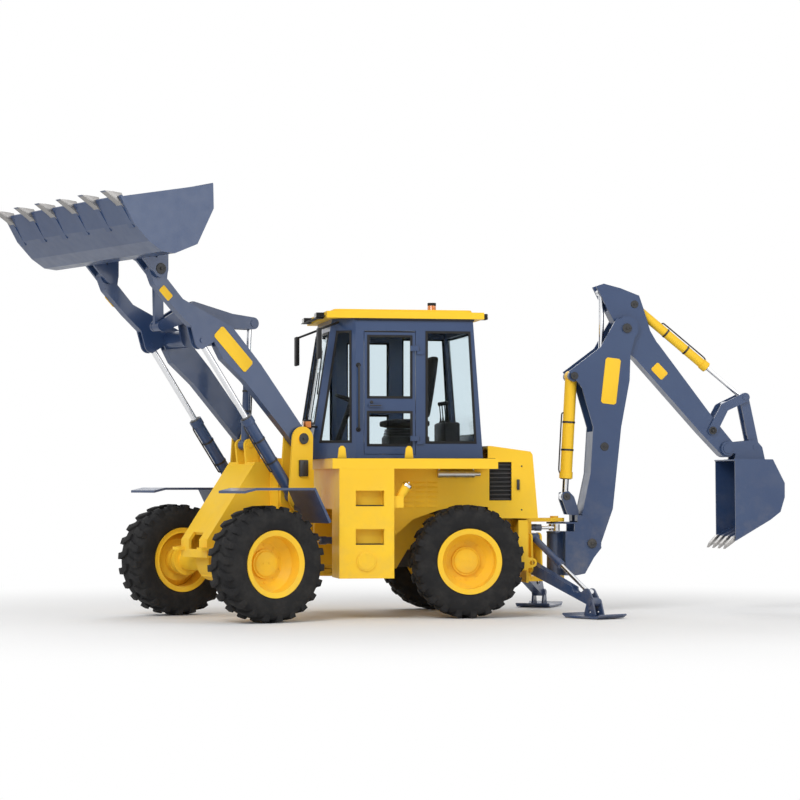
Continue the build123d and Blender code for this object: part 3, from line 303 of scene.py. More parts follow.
def tyre_drawing():
    """One tyre round the y axis, in millimetres from its centre."""
    bm = bmesh.new()
    pitch = 2 * pi * TYRE_RADIUS / LUG_COUNT
    for number in range(2 * LUG_COUNT):
        side = 1 if number % 2 else -1
        shift = number * pitch / 2
        face = bm.faces.new([bm.verts.new((side * y, t + shift, LUG_FOOT)) for y, t in LUG_OUTLINE])
        made = bmesh.ops.extrude_face_region(bm, geom=[face])["geom"]
        top = [v for v in made if isinstance(v, bmesh.types.BMVert)]
        for v in top:
            v.co.z = LUG_TOP - (SHOULDER_DROP if abs(v.co.x) > SHOULDER else 0)
        edges = list({e for v in top for e in v.link_edges})
        bmesh.ops.bevel(bm, geom=edges, offset=7, offset_type="OFFSET", affect="EDGES",
                        segments=2, profile=0.5, material=-1)
    for v in bm.verts:
        across, run, radius = v.co
        angle = run / TYRE_RADIUS
        v.co = Vector((radius * cos(angle), across, radius * sin(angle)))
    section = [(r, -y) for r, y in CARCASS] + [(r, y) for r, y in reversed(CARCASS[:-1])]
    verts = [bm.verts.new((r, y, 0)) for r, y in section]
    edges = [bm.edges.new(pair) for pair in zip(verts, verts[1:])] + [bm.edges.new((verts[-1], verts[0]))]
    bmesh.ops.spin(bm, geom=verts + edges, cent=(0, 0, 0), axis=(0, 1, 0), angle=2 * pi, steps=88, use_merge=True)
    return bm


WHEELS = [("front_left", -HALF_BASE, -1, FRONT), ("front_right", -HALF_BASE, 1, FRONT),
          ("rear_left", HALF_BASE, -1, REAR), ("rear_right", HALF_BASE, 1, REAR)]
for corner, x, side, half in WHEELS:
    bm = tyre_drawing()
    place = Matrix.Translation((x, side * TRACK / 2, AXLE))
    if side < 0:
        place = place @ Matrix.Scale(-1, 4, (0, 1, 0))
    bmesh.ops.transform(bm, matrix=place, verts=bm.verts)
    tyre = add_piece("lugged_tyre_" + corner, bm, RUBBER, "wheel_" + corner, half, 40)
    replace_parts(tyre, "tyre_" + corner)
print("tyres of", len(tyre.data.polygons), "faces each")

# %% [markdown]
# The hub's outer face is a planetary reduction gear's cover: a turned disc with a ring of small bolts and two
# filler plugs. It is made as a lathe would make it, from a half section spun round the axle.

# %% Hub covers and wheel nuts


def rod(bm, start, end, radius, steps=16, far=None, soft=0.0):
    """A round or many-sided bar from start to end, tapered to a far radius."""
    start, end = Vector(start), Vector(end)
    turn = (end - start).to_track_quat("Z", "Y").to_matrix().to_4x4()
    verts = bmesh.ops.create_cone(bm, cap_ends=True, segments=steps, radius1=radius,
                                  radius2=radius if far is None else far, depth=(end - start).length,
                                  matrix=Matrix.Translation((start + end) / 2) @ turn)["verts"]
    if soft:
        around = {e for v in verts for e in v.link_edges}
        ends = [e for e in around if sum(len(f.verts) > 4 for f in e.link_faces) == 1]
        bmesh.ops.bevel(bm, geom=ends, offset=soft, offset_type="OFFSET", affect="EDGES",
                        segments=2, profile=0.5, material=-1)


def turned(bm, profile, centre, axis, steps=40):
    """A lathe-turned form from a row of (radius, height) points."""
    centre, axis = Vector(centre), Vector(axis).normalized()
    out = axis.orthogonal().normalized()
    verts = [bm.verts.new(centre + out * radius + axis * height) for radius, height in profile]
    edges = [bm.edges.new(pair) for pair in zip(verts, verts[1:])]
    made = bmesh.ops.spin(bm, geom=verts + edges, cent=centre, axis=axis, angle=2 * pi, steps=steps, use_merge=True)
    on_axis = [v for v in bm.verts if (v.co - centre).cross(axis).length < 0.01]
    bmesh.ops.remove_doubles(bm, verts=on_axis, dist=0.01)
    return made


def bolt(bm, place, axis, size):
    """A hexagon bolt head on its washer."""
    place, axis = Vector(place), Vector(axis).normalized()
    rod(bm, place, place + axis * size * 0.25, size * 1.25, 14)
    rod(bm, place + axis * size * 0.25, place + axis * size * 0.95, size, 6, size * 0.92)


COVER_BOLTS, WHEEL_NUTS = 12, 10
for corner, x, side, half in WHEELS:
    bm = bmesh.new()
    face = Vector((x, side * (TRACK / 2 - 15), AXLE))
    out = Vector((0, side, 0))
    turned(bm, [(0, 22), (118, 22), (128, 17), (134, 6), (148, 4), (150, 0), (60, 0)], face, out, 48)
    for number in range(COVER_BOLTS):
        angle = 2 * pi * number / COVER_BOLTS
        bolt(bm, face + Vector((cos(angle), 0, sin(angle))) * 141 + out * 4, out, 6)
    for along_x in (-34, 34):
        plug = face + Vector((along_x, 0, 6))
        rod(bm, plug + out * 20, plug + out * 28, 12, 6)
    add_piece("hub_cover_" + corner, bm, YELLOW, "wheel_" + corner, half)
    bm = bmesh.new()
    for number in range(WHEEL_NUTS):
        angle = 2 * pi * (number + 0.5) / WHEEL_NUTS
        spot = Vector((x, side * (TRACK / 2 - 41), AXLE)) + Vector((cos(angle), 0, sin(angle))) * 188
        bolt(bm, spot, out, 10)
    add_piece("wheel_nuts_" + corner, bm, YELLOW, "wheel_" + corner, half)
print("nuts and bolts on each wheel:", COVER_BOLTS + WHEEL_NUTS)

# %% [markdown]
# Each pane of the cab sits in a black rubber seal that laps a little over the wall. A seal is a flat ring
# with rounded edges: a face inset by the seal's width, its middle taken out, and the ring thickened outward.
# A face made from bare corners has no normal yet, and an inset needs one, so it is worked out first.

# %% Window seals
CAB_SIDE, CAB_LOW, CAB_TOP = 700, 1655, 3120
SEAL_LAP = 8


def frame_ring(bm, corners, width, thick, soft=2.0):
    """A flat ring round an opening, lapping over its border, thickened by a vector."""
    corners = [Vector(c) for c in corners]
    centre = sum(corners, Vector()) / len(corners)
    face = bm.faces.new([bm.verts.new(c + SEAL_LAP * (c - centre).normalized()) for c in corners])
    face.normal_update()
    bmesh.ops.inset_region(bm, faces=[face], thickness=width, use_even_offset=True, use_boundary=True)
    ring = [f for f in {f for v in face.verts for f in v.link_faces} if f is not face]
    bmesh.ops.delete(bm, geom=[face], context="FACES_ONLY")
    made = bmesh.ops.extrude_face_region(bm, geom=ring)["geom"]
    moved = [v for v in made if isinstance(v, bmesh.types.BMVert)]
    bmesh.ops.translate(bm, vec=Vector(thick), verts=moved)
    if soft:
        long_edges = [e for e in {e for v in moved for e in v.link_edges} if len(e.link_faces) == 2
                      and e.calc_face_angle(0) > 1.0]
        bmesh.ops.bevel(bm, geom=long_edges, offset=soft, offset_type="OFFSET", affect="EDGES",
                        segments=2, profile=0.5, material=-1)


def wall_at(z, low_x, high_x):
    """Where a leaning wall of the cab stands at a height, from its foot's x and its top's."""
    return low_x + (high_x - low_x) * (z - CAB_LOW) / (CAB_TOP - CAB_LOW)


def corner_wall(x, z):
    """A point 1 mm off the cab's slanted front corner wall."""
    nose = wall_at(z, -250, -15)
    y = 500 + 200 * (x - nose) / (205 - nose)
    return Vector((x - 0.4, y + 1, z))


SIDE_PANE = [(947, 1822), (1487, 1822), (1420, 2985), (947, 2985)]
CORNER_PANE = [(-150, 1830), (165, 1830), (165, 2985), (25, 2985)]
UPPER_PANE = [(330, 2290), (800, 2290), (800, 2940), (330, 2940)]
LOWER_PANE = [(330, 1790), (800, 1790), (800, 2150), (330, 2150)]
bm = bmesh.new()
for side in (-1, 1):
    frame_ring(bm, [(x, side * (CAB_SIDE + 1), z) for x, z in SIDE_PANE], 26, (0, side * 7, 0))
    corners = [corner_wall(x, z) for x, z in CORNER_PANE]
    frame_ring(bm, [(c.x, side * c.y, c.z) for c in corners], 26, (-3, side * 7, 0))
for pane in (UPPER_PANE, LOWER_PANE):
    frame_ring(bm, [(x, CAB_SIDE + 1, z) for x, z in pane], 26, (0, 7, 0))
for low_x, high_x, out, half_width, sill in ((-250, -15, -1, 455, 2020), (1560, 1450, 1, 620, 1900)):
    low, high = (wall_at(z, low_x, high_x) + out for z in (sill, 2985))
    frame_ring(bm, [(low, -half_width, sill), (low, half_width, sill), (high, half_width, 2985),
                    (high, -half_width, 2985)], 28, (out * 8, 0, 0))
add_piece("window_seals", bm, PLASTIC, "rear_frame", REAR)
bm = bmesh.new()
for pane in (UPPER_PANE, LOWER_PANE):
    frame_ring(bm, [(x, -CAB_SIDE - 1, z) for x, z in pane], 26, (0, -7, 0))
box(bm, (300, -CAB_SIDE - 2.5, 2986 - 12), (832, -CAB_SIDE, 2986), 1)
add_piece("door_seals", bm, PLASTIC, "door_left", REAR)
print("seals on", len(made_pieces), "pieces so far")

# %% [markdown]
# The operator's seat is foam under a coarse dark cloth: a crowned cushion and a tall back; its side wings and
# armrests are not drawn. Each cushion starts as a soft block, is subdivided, and its faces are swelled outward and
# its seams drawn in, which gives the pulled corners of an upholstered pad without a long simulation.

# %% Seat cushions


def cushion(name, low, high, swell, lean=0.0):
    """A stuffed pad between two corners, swelled in the middle of each face, leaning back by a share."""
    bm = bmesh.new()
    low, high = Vector(low), Vector(high)
    bmesh.ops.create_cube(bm, size=1)
    bmesh.ops.subdivide_edges(bm, edges=bm.edges, cuts=9, use_grid_fill=True)
    size = high - low
    for v in bm.verts:
        u = v.co * 2
        bulge = [(1 - u[(k + 1) % 3] ** 4) * (1 - u[(k + 2) % 3] ** 4) for k in range(3)]
        share = [u[k] * (0.5 - swell / size[k] * (1 - bulge[k])) + 0.5 for k in range(3)]
        v.co = Vector([low[k] + size[k] * share[k] for k in range(3)])
        v.co.x += lean * (v.co.z - low.z)
    piece = add_piece(name, bm, SEAT_CLOTH, "rear_frame", REAR, 80)
    smooth = piece.modifiers.new("rounding", "SUBSURF")
    smooth.levels = smooth.render_levels = 1
    return piece


base = cushion("seat_cushion", (600, -250, 1985), (1100, 250, 2088), 22)
back = cushion("seat_back", (1000, -228, 2092), (1106, 228, 2758), 20, 0.15)
bm = bmesh.new()
box(bm, (640, -228, 1657), (1080, 228, 1898), 14)
for fold in range(5):
    inset, z = fold * 2, 1898 + fold * 17
    box(bm, (652 + inset * 2, inset - 208, z), (1048 - inset * 2, 208 - inset, z + 13), 5)
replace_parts(add_piece("seat_base", bm, PLASTIC, "rear_frame", REAR), "operator_seat")
print("seat:", base.name, back.name)

# %% [markdown]
# Inside the cab a steering wheel stands on a leaning column over the pedals, and the hoe's levers rise from a
# console behind the seat. A wheel's rim is a small circle spun round the column, which keeps its section
# round, and its spokes are round bars.

# %% Steering wheel, pedals and levers
bm = bmesh.new()
foot, hub = Vector((68, 0, 1680)), Vector((277, 0, 2284))
lean = (hub - foot).normalized()
rod(bm, foot, hub - lean * 20, 34, 20, 26)
turned(bm, [(0, 0), (44, 0), (50, 12), (42, 30), (0, 34)], hub - lean * 16, lean, 24)
side_way, up_way = Vector((0, 1, 0)), lean.cross(Vector((0, 1, 0)))
RIM_RADIUS, GRIP = 178, 12
ring = [bm.verts.new(hub + side_way * (RIM_RADIUS + GRIP * cos(a)) + lean * (GRIP * sin(a)))
        for a in [2 * pi * n / 10 for n in range(10)]]
loop = [bm.edges.new(pair) for pair in zip(ring, ring[1:] + ring[:1])]
bmesh.ops.spin(bm, geom=ring + loop, cent=hub, axis=lean, angle=2 * pi, steps=36, use_merge=True)
for angle in (pi / 6, 5 * pi / 6, 3 * pi / 2):
    rod(bm, hub + lean * 4, hub + (side_way * cos(angle) + up_way * sin(angle)) * 172 + lean * 2, 10, 10)
box(bm, (-58, -148, 1657), (118, 148, 1668), 3)
for y in (-120, 20, 90):
    box(bm, (-40, y - 26, 1700), (-22, y + 26, 1758), 6)
    rod(bm, (-30, y, 1700), (20, y, 1668), 7, 8)
box(bm, (1232, -298, 1657), (1398, 298, 2046), 18)
box(bm, (1252, -270, 2044), (1378, 270, 2052), 3)
for y in (-200, -70, 70, 200):
    turned(bm, [(0, 0), (24, 0), (20, 14), (12, 22), (8, 60), (0, 60)], (1289, y, 2050), (-0.08, 0, 1), 16)
    rod(bm, (1289, y, 2070), (1274, y, 2236), 6, 10)
    turned(bm, [(0, 0), (12, 2), (19, 16), (20, 30), (14, 44), (0, 48)], (1274, y, 2232), (-0.08, 0, 1), 16)
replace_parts(add_piece("cab_levers_and_wheel", bm, PLASTIC, "rear_frame", REAR), "cab_controls")
print("levers and column end at", [round(v) for v in hub])

# %% [markdown]
# Each lamp is a clear lens in a turned metal bezel. The lens is a shallow dome with fine ribs, which break up
# the light as the moulded ribs of a real lens do. The beacon on the roof is a taller ribbed dome in amber.

# %% Lamps, mirrors and beacon


def tinted(name, colour, glow=0.0):
    """A coloured moulded lens with a fine ribbed surface."""
    material, tree, surface = new_material(name)
    shade = ramp(tree, noise(tree, 30, 2), [(0.3, tuple(0.85 * c for c in colour)), (0.8, colour)])
    tree.links.new(shade, surface.inputs["Base Color"])
    surface.inputs["Roughness"].default_value = 0.12
    surface.inputs["Coat Weight"].default_value = 0.8
    surface.inputs["Transmission Weight"].default_value = glow
    ribs = tree.nodes.new("ShaderNodeTexWave")
    ribs.wave_type = "BANDS"
    ribs.bands_direction = "Z"
    ribs.inputs["Scale"].default_value = 40
    place = tree.nodes.new("ShaderNodeTexCoord")
    tree.links.new(place.outputs["Object"], ribs.inputs["Vector"])
    bump(tree, surface, ribs.outputs["Fac"], 0.3, 0.0008)
    return material


AMBER = tinted("amber_lens", (0.95, 0.28, 0.02), 0.25)
RED = tinted("red_lens", (0.55, 0.02, 0.015), 0.2)
CLEAR = tinted("clear_lens", (0.80, 0.83, 0.86), 0.35)
LAMP_SPOTS = [((-330, 592, 2010), (-1, 0, 0), 34), ((-180, 415, 3155), (-1, 0, 0), 24),
              ((-180, 485, 3155), (-1, 0, 0), 24), ((1630, 515, 3155), (1, 0, 0), 24),
              ((1630, 570, 3155), (1, 0, 0), 24)]
bezels, lenses = bmesh.new(), bmesh.new()
for side in (-1, 1):
    for (x, y, z), way, radius in LAMP_SPOTS:
        spot = Vector((x, side * y, z))
        turned(bezels, [(radius - 4, -1), (radius + 5, -1), (radius + 6, 5), (radius + 2, 8), (radius - 3, 8),
                        (radius - 4, -1)], spot, way, 28)
        turned(lenses, [(0, 9), (radius * 0.5, 8), (radius * 0.85, 5), (radius - 3, 1), (radius - 3, 0), (0, 0)],
               spot, way, 28)
add_piece("lamp_bezels", bezels, SILVER, "rear_frame", REAR)
add_piece("lamp_lenses", lenses, CLEAR, "rear_frame", REAR)
signals = bmesh.new()
two_boxes(signals, (-340, 640, 1978), (-329, 676, 2042), 4)
two_boxes(signals, (-322, 679, 1978), (-262, 688, 2042), 3)
turned(signals, [(0, 94), (20, 92), (38, 80), (46, 60), (48, 6), (52, 0), (0, 0)], (1148, 0, 3246), (0, 0, 1), 36)
add_piece("amber_lenses", signals, AMBER, "rear_frame", REAR)
glass, shells = bmesh.new(), bmesh.new()
two_boxes(glass, (-181, 768, 2702), (-177, 892, 2988), 1.5)
two_boxes(shells, (-218, 757, 2686), (-184, 903, 3004), 9)
add_piece("mirror_glass", glass, CHROME, "rear_frame", REAR)
add_piece("mirror_shells", shells, PLASTIC, "rear_frame", REAR)
print("lamps:", len(LAMP_SPOTS) * 2)

# %% [markdown]
# The cab's outside carries what people touch and what keeps the rain off: a grab rail by the door, a lock
# button, wipers, a gutter under the roof and a dark visor over the windshield. The rail is drawn as a line
# with a round section, as a tube bender would take it, and is made a mesh before it is placed. Thin sheet
# parts have slightly softened edges so that they catch a line of light.

# %% Cab trim


def plate(bm, corners, thick, soft=0.0):
    """A flat plate from its corners, thickened by a vector."""
    face = bm.faces.new([bm.verts.new(Vector(c)) for c in corners])
    made = bmesh.ops.extrude_face_region(bm, geom=[face])["geom"]
    moved = [v for v in made if isinstance(v, bmesh.types.BMVert)]
    bmesh.ops.translate(bm, vec=Vector(thick), verts=moved)
    if soft:
        soften(bm, list(face.verts) + moved, soft)


def pipe(name, points, radius, finish, body, half=REAR):
    """A bent steel pipe along a smooth line, made a mesh before it is placed."""
    curve = bpy.data.curves.new(name, "CURVE")
    curve.dimensions = "3D"
    curve.bevel_depth = radius
    curve.bevel_resolution = 3
    curve.resolution_u = 6
    curve.use_fill_caps = True
    line = curve.splines.new("NURBS")
    line.points.add(len(points) - 1)
    for point, where in zip(line.points, points):
        point.co = (*where, 1)
    line.order_u = 3
    line.use_endpoint_u = True
    holder = bpy.data.objects.new(name + "_line", curve)
    bpy.context.collection.objects.link(holder)
    depsgraph = bpy.context.evaluated_depsgraph_get()
    mesh = bpy.data.meshes.new_from_object(holder.evaluated_get(depsgraph))
    bm = bmesh.new()
    bm.from_mesh(mesh)
    bpy.data.objects.remove(holder)
    bpy.data.meshes.remove(mesh)
    return add_piece(name, bm, finish, body, half, 50)


RAIL = [(232, -706, 1960), (232, -742, 1962), (232, -748, 1990), (232, -748, 2600), (232, -742, 2628),
        (232, -706, 2630)]
pipe("cab_grab_rail", RAIL, 11, BLACK_PAINT, "rear_frame")
bm = bmesh.new()
for z in (1960, 2630):
    turned(bm, [(0, 0), (26, 0), (26, 5), (14, 9), (0, 9)], (232, -700, z), (0, -1, 0), 20)
two_boxes(bm, (190, 704, 3096), (1462, 722, 3118), 3)
plate(bm, [(-190, -560, 3126), (-190, 560, 3126), (-102, 640, 3140), (-102, -640, 3140)], (0, 0, 8), 2)
for y, lean_y in ((-210, -430), (150, 20)):
    rod(bm, (-196, y, 2006), (-188, y, 2006), 16, 14)
    rod(bm, (-204, y, 2010), (-150, lean_y, 2560), 6, 8)
    rod(bm, (-160, lean_y - 4, 2330), (-106, lean_y + 4, 2790), 7, 6)
add_piece("cab_trim", bm, PLASTIC, "rear_frame", REAR)
bm = bmesh.new()
turned(bm, [(0, 0), (17, 0), (17, 8), (13, 11), (0, 11)], (372, -700, 2245), (0, -1, 0), 20)
box(bm, (344, -742, 2203), (470, -738, 2217), 2)
add_piece("door_lock", bm, BLACK_PAINT, "door_left", REAR)
print("trim on the cab, its rail", RAIL[-1][2] - RAIL[0][2], "mm high")

# %% [markdown]
# The platform's edge has two upright yellow tabs on each side, and a thin rubber mat lies where people step.
# A tab is an outline with its top corners cut, thickened across. The mat is only a sheet: its ribs are bump,
# because at 4 mm they are too shallow to change its outline.

# %% Tabs and mats on the platform
DECK = 1655
TAB_OUTLINE = [(-46, 0), (46, 0), (34, 105), (14, 129), (-14, 129), (-34, 105)]
bm = bmesh.new()
for middle in (5, 703):
    for near in (-1062, 1040):
        plate(bm, [(middle + x, near, DECK + z) for x, z in TAB_OUTLINE], (0, 22, 0), 3)
add_piece("platform_tabs", bm, YELLOW, "rear_frame", REAR)
bm = bmesh.new()
two_boxes(bm, (-92, 712, DECK), (1600, 1118, DECK + 4), 1)
MAT = matt("ribbed_rubber_mat", (0.018, 0.018, 0.019), (0.05, 0.047, 0.043), 0.8, 60, 0.003)
add_piece("platform_mats", bm, MAT, "rear_frame", REAR)
print("tabs:", 4, "and mats:", 2)

# %% [markdown]
# The tanks carry the climb to the cab: black grip strips lie in the two steps, a chromed cap closes the
# slanted filler, and a bolted cover closes the hole near the bottom. The cap and the cover are round, so they
# are turned from a half section, and rows of small bolts show how the sheets are held.

# %% Steps, filler caps and tank covers
bm = bmesh.new()
for z in (1166, 771):
    two_boxes(bm, (140, 1022, z), (425, 1124, z + 7), 2)
    for y in range(1040, 1113, 24):
        two_boxes(bm, (146, y - 4, z + 6), (419, y + 4, z + 11), 1.5)
add_piece("step_grips", bm, PLASTIC, "rear_frame", REAR)
bm = bmesh.new()
for side in (-1, 1):
    line = Vector((100, side * 20, 160)).normalized()
    tip = Vector((600, side * 1020, 1240)) + line * 160
    turned(bm, [(0, 34), (22, 34), (40, 28), (50, 18), (53, 0), (53, -8), (0, -8)], tip, line, 32)
    rod(bm, tip + line * 34, tip + line * 46, 9, 12)
add_piece("filler_caps", bm, CHROME, "rear_frame", REAR)
bm = bmesh.new()
for side in (-1, 1):
    spot = Vector((245, side * 1144, 600))
    turned(bm, [(0, 5), (84, 5), (90, 0), (0, 0)], spot, (0, side, 0), 36)
    for angle in [2 * pi * number / 8 for number in range(8)]:
        bolt(bm, spot + Vector((cos(angle) * 70, side * 4, sin(angle) * 70)), (0, side, 0), 6)
    for x in (-20, 520):
        for z in (470, 700, 930, 1080):
            bolt(bm, (x, side * 1130, z), (0, side, 0), 6)
add_piece("tank_covers", bm, YELLOW, "rear_frame", REAR)
print("steps:", 4, "filler caps:", 2, "covers:", 2)

# %% [markdown]
# Behind the hood's grilles stands the dark radiator with its fine mesh. Bump draws the mesh, because real
# wires there are thinner than a pixel. In front of it the grilles have slanted slats that keep rain out, and
# the side panels have louvres pressed from the sheet. Both are one short outline, repeated down the opening.

# %% Radiator, grilles and louvres
CORE, core_tree, core_surface = new_material("radiator_core")
core_surface.inputs["Roughness"].default_value = 0.6
core_place = core_tree.nodes.new("ShaderNodeTexCoord")
core_grid = core_tree.nodes.new("ShaderNodeTexBrick")
core_grid.inputs["Scale"].default_value = 60
core_grid.inputs["Color1"].default_value = (0.006, 0.006, 0.007, 1)
core_grid.inputs["Color2"].default_value = (0.010, 0.010, 0.011, 1)
core_grid.inputs["Mortar"].default_value = (0.03, 0.03, 0.032, 1)
core_turn = core_tree.nodes.new("ShaderNodeMapping")
core_turn.inputs["Rotation"].default_value = (radians(90), 0, 0)
core_tree.links.new(core_place.outputs["Object"], core_turn.inputs["Vector"])
core_tree.links.new(core_turn.outputs["Vector"], core_grid.inputs["Vector"])
core_tree.links.new(core_grid.outputs["Color"], core_surface.inputs["Base Color"])
bump(core_tree, core_surface, core_grid.outputs["Fac"], 0.6, 0.002)
bm = bmesh.new()
two_boxes(bm, (1636, 596, 1210), (1892, 612, 1632), 2)
box(bm, (2040, -440, 1140), (2052, 440, 1612), 2)
add_piece("radiator_cores", bm, CORE, "rear_frame", REAR)
bm = bmesh.new()
SLATS = 9
for side in (-1, 1):
    for number in range(SLATS):
        z = 1218 + (number + 0.5) * 406 / SLATS
        near, far = side * 618, side * 634
        plate(bm, [(1648, near, z + 12), (1648, far, z - 8), (1648, far, z - 14), (1648, near, z + 6)],
              (235, 0, 0), 1)
for number in range(SLATS):
    z = 1150 + (number + 0.5) * 50
    far = 2163 - (z - 1030) * 59 / 670
    near = far - 19
    plate(bm, [(near, -422, z + 14), (far, -422, z - 8), (far, -422, z - 15), (near, -422, z + 7)], (0, 844, 0), 1)
add_piece("grille_slats", bm, BLACK_PAINT, "rear_frame", REAR)
bm = bmesh.new()
for side in (-1, 1):
    for x in (724, 850, 976):
        for number in range(6):
            z = 1420 - number * 50
            near, far = side * 639, side * 649
            plate(bm, [(x, near, z), (x, far, z - 20), (x, far, z - 24), (x, near, z - 24)], (108, 0, 0), 1.5)
add_piece("side_louvres", bm, YELLOW, "rear_frame", REAR)
print("slats:", 3 * SLATS)

# %% [markdown]
# The last small things sit on the panels: latches and lamps at the hood, clamp bands and an outlet on the
# muffler that lies below the platform, and a dark box on the left tower. A band is a short turned section, a
# little larger than the muffler, so it stands off it as a real strap does.

# %% Latches, muffler bands and tower box
bm = bmesh.new()
for side in (-1, 1):
    for z in (1120, 1580):
        bolt(bm, (1990, side * 640, z), (0, side, 0), 7)
two_boxes(bm, (1935, 641, 1330), (1965, 660, 1440), 5)
add_piece("hood_latches", bm, BLACK_PAINT, "rear_frame", REAR)
bm = bmesh.new()
for x in (1090, 1180, 1270, 1370, 1455):
    turned(bm, [(38, -7), (42, -7), (42, 7), (38, 7)], (x, -695, 1497), (1, 0, 0), 28)
for x in (1090, 1455):
    box(bm, (x - 6, -704, 1536), (x + 6, -686, 1552), 2)
rod(bm, (1471, -695, 1497), (1530, -695, 1497), 24, 20)
add_piece("muffler_bands", bm, SILVER, "rear_frame", REAR)
bm = bmesh.new()
two_boxes(bm, (2096, 500, 1640), (2124, 580, 1700), 5)
add_piece("rear_lamps", bm, RED, "rear_frame", REAR)
bm = bmesh.new()
box(bm, (-745, -622, 1470), (-640, -596, 1640), 6)
for z in (1500, 1610):
    bolt(bm, (-692, -622, z), (0, -1, 0), 7)
add_piece("tower_box", bm, BLACK_PAINT, "front_frame", FRONT)
print("pieces so far:", len(made_pieces))

# %% [markdown]
# Every pin of the arms ends in a flat cap held by a small bolt, which is what stops the pin from creeping
# out. One table lists where the caps go, which way they face and what they ride on.

# %% Pin caps
ARM_PIVOT, BUCKET_PIN = Vector((-690, 0, 1860)), Vector((-2376, 0, 3530))
ARM_WAY = (BUCKET_PIN - ARM_PIVOT).normalized()
ARM_UP = Vector((ARM_WAY.z, 0, -ARM_WAY.x))


def on_arm(along, above, y=0):
    """A point of the loader arm: a distance along it, square above it and across."""
    spot = ARM_PIVOT + ARM_WAY * along + ARM_UP * above
    return Vector((spot.x, y, spot.z))


PIN_CAPS = [
    # body, half, x, z, distance from the middle, radius
    ("front_frame", FRONT, -690, 1860, 609, 58),
    ("front_frame", FRONT, -760, 1270, 607, 42),
    ("loader_bucket", FRONT, -2376, 3530, 590, 56),
    ("swing_post", REAR, 2874, 750, 198, 52),
    ("swing_post", REAR, 2620, 1255, 92, 40),
    ("boom", REAR, 3275, 3080, 160, 52),
    ("boom", REAR, 2690, 2560, 150, 42),
    ("boom", REAR, 3025, 1796, 150, 46),
    ("dipper", REAR, 3376, 3345, 95, 42),
    ("dipper", REAR, 4424, 1779, 110, 48),
    ("hoe_lever", REAR, 4256, 1975, 120, 44),
]
caps = {}
for body, half, x, z, distance, radius in PIN_CAPS:
    bm = caps.setdefault(body, (bmesh.new(), half))[0]
    for side in (-1, 1):
        spot, out = Vector((x, side * distance, z)), Vector((0, side, 0))
        turned(bm, [(0, 8), (radius - 4, 8), (radius, 4), (radius, -4), (0, -4)], spot, out, 30)
        bolt(bm, spot + Vector((0, side * 7, 0)), out, radius * 0.26)
        bolt(bm, spot + Vector((radius * 0.62, side * 7, 0)), out, radius * 0.13)
for body, (bm, half) in caps.items():
    add_piece("pin_caps_" + body, bm, DARK_STEEL, body, half)
print("caps on", len(PIN_CAPS) * 2, "pins")

# %% [markdown]
# Each cylinder has a dark wiper seal where its rod comes out; all but the crowd cylinder also get two clamp
# bands and a thin steel line that takes oil to the far end. Giving one table the base, the rod's end and the radii
# draws all of them alike. The line is a rigid pipe and rides on the barrel, so it stays in place however the
# cylinder swings.

# %% Cylinder seals, bands and oil lines
CYLINDERS = [
    # body, half, base, rod's end, tube, length, rod, the way to the oil line's side
    ("lift_barrels", FRONT, (-760, -500, 1270), on_arm(1527, -138, -500), 60, 975, 30, (-0.815, 0, -0.579)),
    ("lift_barrels", FRONT, (-760, 500, 1270), on_arm(1527, -138, 500), 60, 975, 30, (-0.815, 0, -0.579)),
    ("tilt_barrel", FRONT, (-1024, 0, 1799), on_arm(1044, 662), 42, 780, 26, (1, 0, 0)),
    ("boom_barrel", REAR, (2690, 0, 2560), (2620, 0, 1255), 65, 1110, 35, (-1, 0, 0)),
    ("crowd_barrel", REAR, (3025, 0, 1796), (3027, 0, 3483), 52, 1000, 30, None),
    ("curl_barrel", REAR, (3376, 0, 3345), (4625, 0, 2340), 50, 1080, 24, (0.627, 0, 0.779)),
]
for number, (body, half, base, tip, tube, length, bar, side_way) in enumerate(CYLINDERS):
    base, tip = Vector(base), Vector(tip)
    line = (tip - base).normalized()
    bm = bmesh.new()
    turned(bm, [(bar + 1, 0), (tube - 2, 0), (tube - 6, 7), (bar + 8, 9), (bar + 1, 9), (bar + 1, 0)],
           base + line * length, line, 32)
    if side_way:
        for share in (0.45, 0.72):
            turned(bm, [(tube - 1, -10), (tube + 5, -10), (tube + 5, 10), (tube - 1, 10)],
                   base + line * length * share, line, 32)
    add_piece("cylinder_seals_%d" % number, bm, BLACK_PAINT, body, half)
    if side_way:
        out = Vector(side_way)
        out = (out - line * out.dot(line)).normalized()
        reach = [(0.36, tube - 4), (0.36, tube + 15), (0.39, tube + 19), (0.66, tube + 19), (0.90, tube + 19),
                 (0.93, tube + 17), (0.95, tube + 4)]
        pipe("oil_line_%d" % number, [base + line * length * share + out * off for share, off in reach],
             8, BLACK_PAINT, body, half)
print("cylinders dressed:", len(CYLINDERS))

# %% [markdown]
# The bucket works in gravel, so its teeth and cutting edge lose their paint and show bright, scoured steel.
# A worn shoe is fitted over the end of each tooth, tapered like the real casting, and a steel strip lies
# along the cutting edge.

